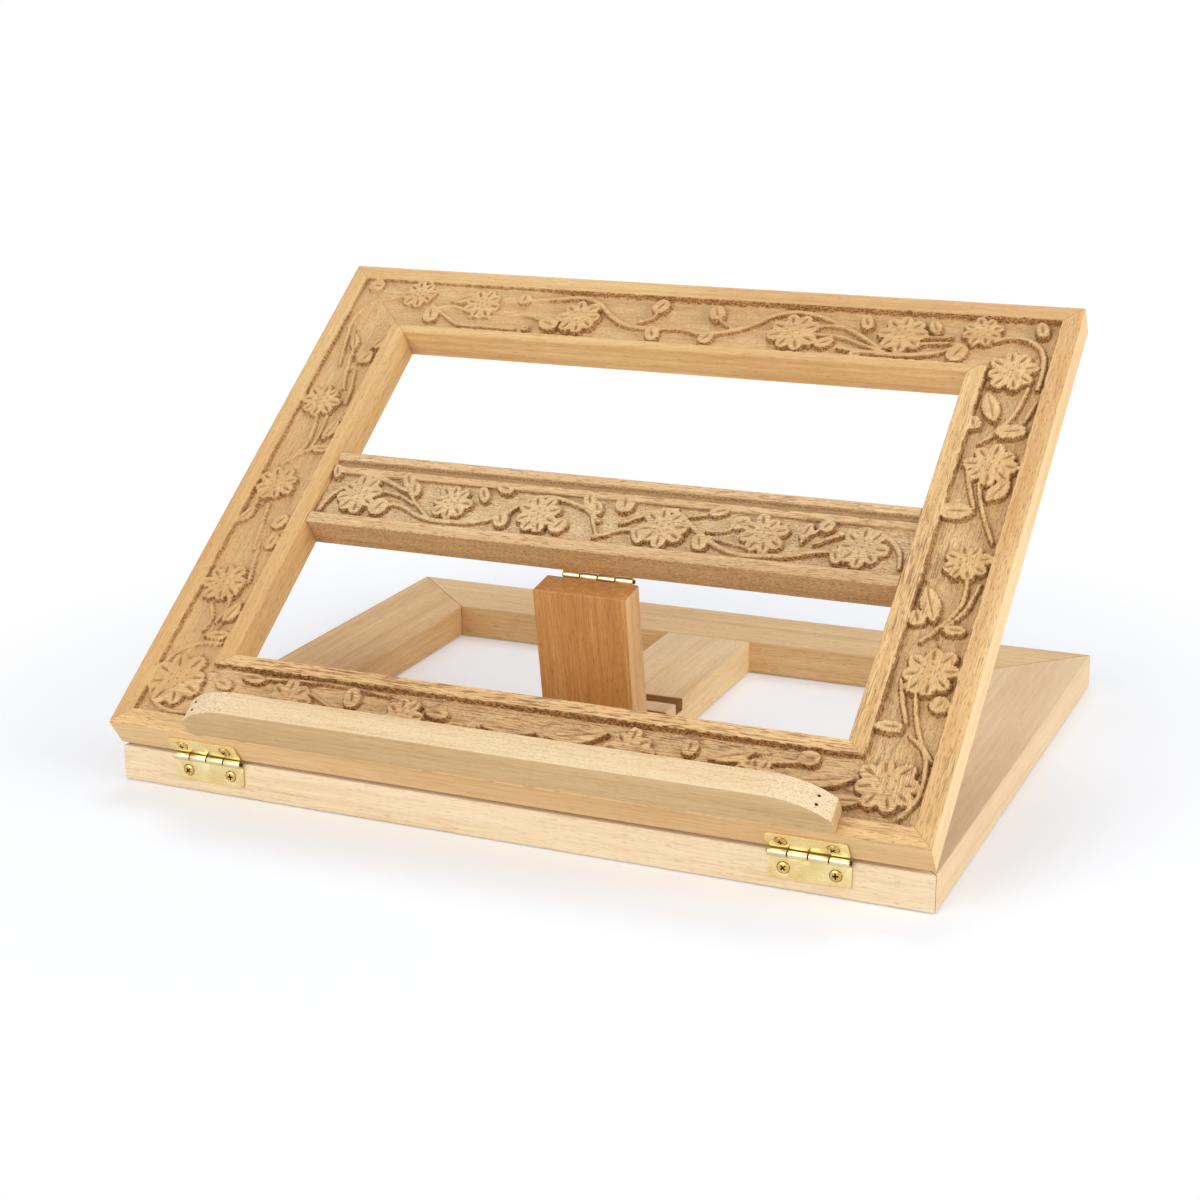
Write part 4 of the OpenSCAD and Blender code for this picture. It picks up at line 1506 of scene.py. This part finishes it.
def makePin(name):
    clearSelection()
    long = hinge["long"] + 2 * hinge["pinStand"]
    bpy.ops.mesh.primitive_cylinder_add(
        vertices=32, radius=hinge["pinD"] / 2, depth=long, rotation=(0, math.pi / 2, 0)
    )
    piece = bpy.context.object
    piece.name = piece.data.name = name
    bpy.ops.object.transform_apply(location=True, rotation=True, scale=True)
    easeEdges(piece, hinge["pinArris"], angle=40)
    smoothSides(piece, 40)
    return piece


# One raised-head screw, its point along +Z and its head's rim at 0, turned from half its
# outline. The cross is cut by two crossed wedges.
def makeScrew():
    headR, shankR, rise = hinge["headD"] / 2, hinge["shankD"] / 2, hinge["headRise"]
    radii = [headR * math.sin(a) for a in np.linspace(0, math.pi / 2, 7)]
    dome = [(r, -rise * math.sqrt(max(0, 1 - (r / headR) ** 2))) for r in radii]
    below = [
        (headR, hinge["headRim"]),
        (shankR, hinge["headRim"] + headR - shankR),
        (shankR, hinge["screwLong"] - hinge["shankD"]),
        (0, hinge["screwLong"]),
    ]
    outline = [(r, 0, z) for r, z in dome + below]
    mesh = bpy.data.meshes.new("screw")
    mesh.from_pydata(outline, [(i, i + 1) for i in range(len(outline) - 1)], [])
    piece = bpy.data.objects.new("screw", mesh)
    bpy.context.scene.collection.objects.link(piece)
    selectOnly(piece)
    bpy.ops.object.mode_set(mode="EDIT")
    bpy.ops.mesh.select_all(action="SELECT")
    bpy.ops.mesh.spin(steps=36, angle=2 * math.pi, center=(0, 0, 0), axis=(0, 0, 1))
    bpy.ops.mesh.select_all(action="SELECT")
    bpy.ops.mesh.remove_doubles(threshold=hinge["screwWeld"])
    bpy.ops.mesh.normals_make_consistent(inside=False)
    bpy.ops.object.mode_set(mode="OBJECT")
    addFinishes(piece, "screwBrass", "screwCross")
    deepEnd = hinge["crossDeep"] - rise
    long, narrow = hinge["crossLong"], hinge["crossWide"]
    for size in ((long, narrow), (narrow, long)):
        middle = (deepEnd - 2 * rise) / 2
        cutter = addCube("driverTip", (*size, 2 * rise + deepEnd), (0, 0, middle))
        for corner in cutter.data.vertices:
            if corner.co.z > 0:
                corner.co.x *= hinge["crossTaper"][0]
                corner.co.y *= hinge["crossTaper"][1]
        # the cross's faces take the dark brass: dirt, and painted shade in the hollow
        addFinishes(cutter, "screwBrass", "screwCross")
        for face in cutter.data.polygons:
            face.material_index = 1
        cutAway(piece, cutter)
    easeEdges(piece, hinge["crossArris"], segments=1, angle=50)
    smoothSides(piece)
    return piece


def screwPair(name, model, side):
    copies = []
    middleTurn, change = hinge["crossTurn"]
    for sx in (-1, 1):
        copy = bpy.data.objects.new(name, model.data.copy())
        bpy.context.scene.collection.objects.link(copy)
        x, z = sx * hinge["screwSpacing"] / 2, side * hinge["screwReach"]
        place = Matrix.Translation((x, stand["axisOut"] - hinge["plate"], z))
        spin = Matrix.Rotation(math.radians(middleTurn + change * sx * side), 4, "Z")
        copy.data.transform(place @ Matrix.Rotation(-math.pi / 2, 4, "X") @ spin)
        copies.append(copy)
    clearSelection()
    for copy in copies:
        copy.select_set(True)
    bpy.context.view_layer.objects.active = copies[0]
    bpy.ops.object.join()
    return copies[0]


def hingePlace(node, space, y, z, turn=0):
    low, high = extent(node)
    place = Matrix.Translation(((low.x + high.x) / 2, y, z))
    return space @ place @ Matrix.Rotation(math.radians(turn), 4, "X")


# A half is its part, body, side and space. The pin stays with the first half.
def makeHinge(place, *halves):
    for part, body, side, space in halves:
        leaf = makeLeaf(f"{place}Hinge{part.title()}Leaf", side)
        screws = screwPair(f"{place}Hinge{part.title()}Screws", screw, side)
        leaf.data.transform(space)
        screws.data.transform(space)
        dress(leaf, "brass", body, "hinge_brass", f"{place}_hinge_{part}_leaf")
        dress(screws, "screwBrass", body, "screw_brass", f"{place}_hinge_{part}_screws")
    firstBody, firstSpace = halves[0][1], halves[0][3]
    # the pin is drawn dark, as painted shade in the gaps between the knuckles
    pin = makePin(f"{place}HingePin")
    pin.data.transform(firstSpace)
    dress(pin, "pinBrass", firstBody, "hinge_brass", f"{place}_hinge_pin")


axis = jointPlace("frame_fold") / mm
axisOut, foldGap = stand["axisOut"], stand["foldGap"]
screw = makeScrew()
for hand in ("left", "right"):
    lower = hingePlace(f"{hand}_hinge_base_leaf", baseSpace, axis.y, axis.z)
    upper = hingePlace(f"{hand}_hinge_frame_leaf", frameSpace, -axisOut, -foldGap / 2)
    makeHinge(hand, ("base", "base", -1, lower), ("frame", "book_frame", 1, upper))
railSide = hingePlace("strut_hinge_rail_leaf", frameSpace, strutPin.y, -axisOut, 90)
strutSide = hingePlace("strut_hinge_strut_leaf", strutSpace, strutPin.y, -axisOut, 90)
makeHinge("strut", ("rail", "book_frame", -1, railSide), ("strut", "strut", 1, strutSide))
bpy.data.objects.remove(screw)
print("hinges ready")


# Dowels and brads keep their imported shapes.
for node, piece in frame["nodes"].items():
    if node.endswith("dowels") or node == "ledge_brads":
        piece.data.materials.clear()
        addFinishes(piece, "dowel" if node.endswith("dowels") else "nailSteel")


studio = {
    "paper": "#F0F1F2",
    "seenPaper": "#EDF1F8",  # the same paper as the camera shows it, with the lift added
    "lift": 0.17,
    "fadeFrom": 190,  # mm from the middle of the stand, where the paper turns to white
    "fadeTo": 400,
    "skyLight": 0.45,
    "sheet": 12,  # metres
    "gap": 0.4,  # mm under the stand
}


# A white sweep that keeps the soft shadow, and turns to plain white away from the stand.
def makeFloor():
    clearSelection()
    bpy.ops.mesh.primitive_plane_add(size=studio["sheet"], location=(0, 0, -studio["gap"] * mm))
    floor = bpy.context.object
    floor.name = "floor"
    material, tree = newMaterial("matt white paper, floor")
    seen = seenDirectly(tree)
    spot = addNode(tree, "ShaderNodeTexCoord").outputs["Object"]
    away = addNode(tree, "ShaderNodeVectorMath", {0: spot}, operation="LENGTH").outputs["Value"]
    start, end = studio["fadeFrom"] * mm, studio["fadeTo"] * mm
    limits = {"Value": away, "From Min": start, "From Max": end}
    far = addNode(tree, "ShaderNodeMapRange", limits, interpolation_type="SMOOTHSTEP").outputs[0]
    papers = [
        addNode(tree, "ShaderNodeBsdfDiffuse", {"Color": tone(studio[key])}).outputs[0]
        for key in ("paper", "seenPaper")
    ]
    glow = {"Color": tone("#FFFFFF"), "Strength": studio["lift"]}
    glow = addNode(tree, "ShaderNodeEmission", glow).outputs[0]
    near = addNode(tree, "ShaderNodeAddShader", {0: papers[1], 1: glow}).outputs[0]
    white = {"Color": tone("#FFFFFF"), "Strength": 1.0}
    white = addNode(tree, "ShaderNodeEmission", white).outputs[0]
    shown = addNode(tree, "ShaderNodeMixShader", {0: far, 1: near, 2: white}).outputs[0]
    surface = addNode(tree, "ShaderNodeMixShader", {0: seen, 1: papers[0], 2: shown}).outputs[0]
    addNode(tree, "ShaderNodeOutputMaterial", {"Surface": surface})
    floor.data.materials.append(material)


# 1 for rays from the camera, from metal and through glass, 0 for the light itself
def seenDirectly(tree):
    rays = addNode(tree, "ShaderNodeLightPath").outputs
    seen = rays["Is Camera Ray"]
    for other in ("Is Glossy Ray", "Is Transmission Ray"):
        either = {0: seen, 1: rays[other]}
        seen = addNode(tree, "ShaderNodeMath", either, operation="MAXIMUM").outputs[0]
    return seen


def makeWorld():
    world = bpy.data.worlds.new("white studio")
    bpy.context.scene.world = world
    world.use_nodes = True
    tree = world.node_tree
    tree.nodes.clear()
    backgrounds = []
    for strength in (studio["skyLight"], 1.0):
        sky = {"Color": tone("#FFFFFF"), "Strength": strength}
        backgrounds.append(addNode(tree, "ShaderNodeBackground", sky).outputs[0])
    sides = {0: seenDirectly(tree), 1: backgrounds[0], 2: backgrounds[1]}
    mixed = addNode(tree, "ShaderNodeMixShader", sides).outputs[0]
    addNode(tree, "ShaderNodeOutputWorld", {"Surface": mixed})


makeFloor()
makeWorld()
makeLamps()
makeCamera()
bpy.context.scene.view_settings.view_transform = "Standard"
print("stage ready")
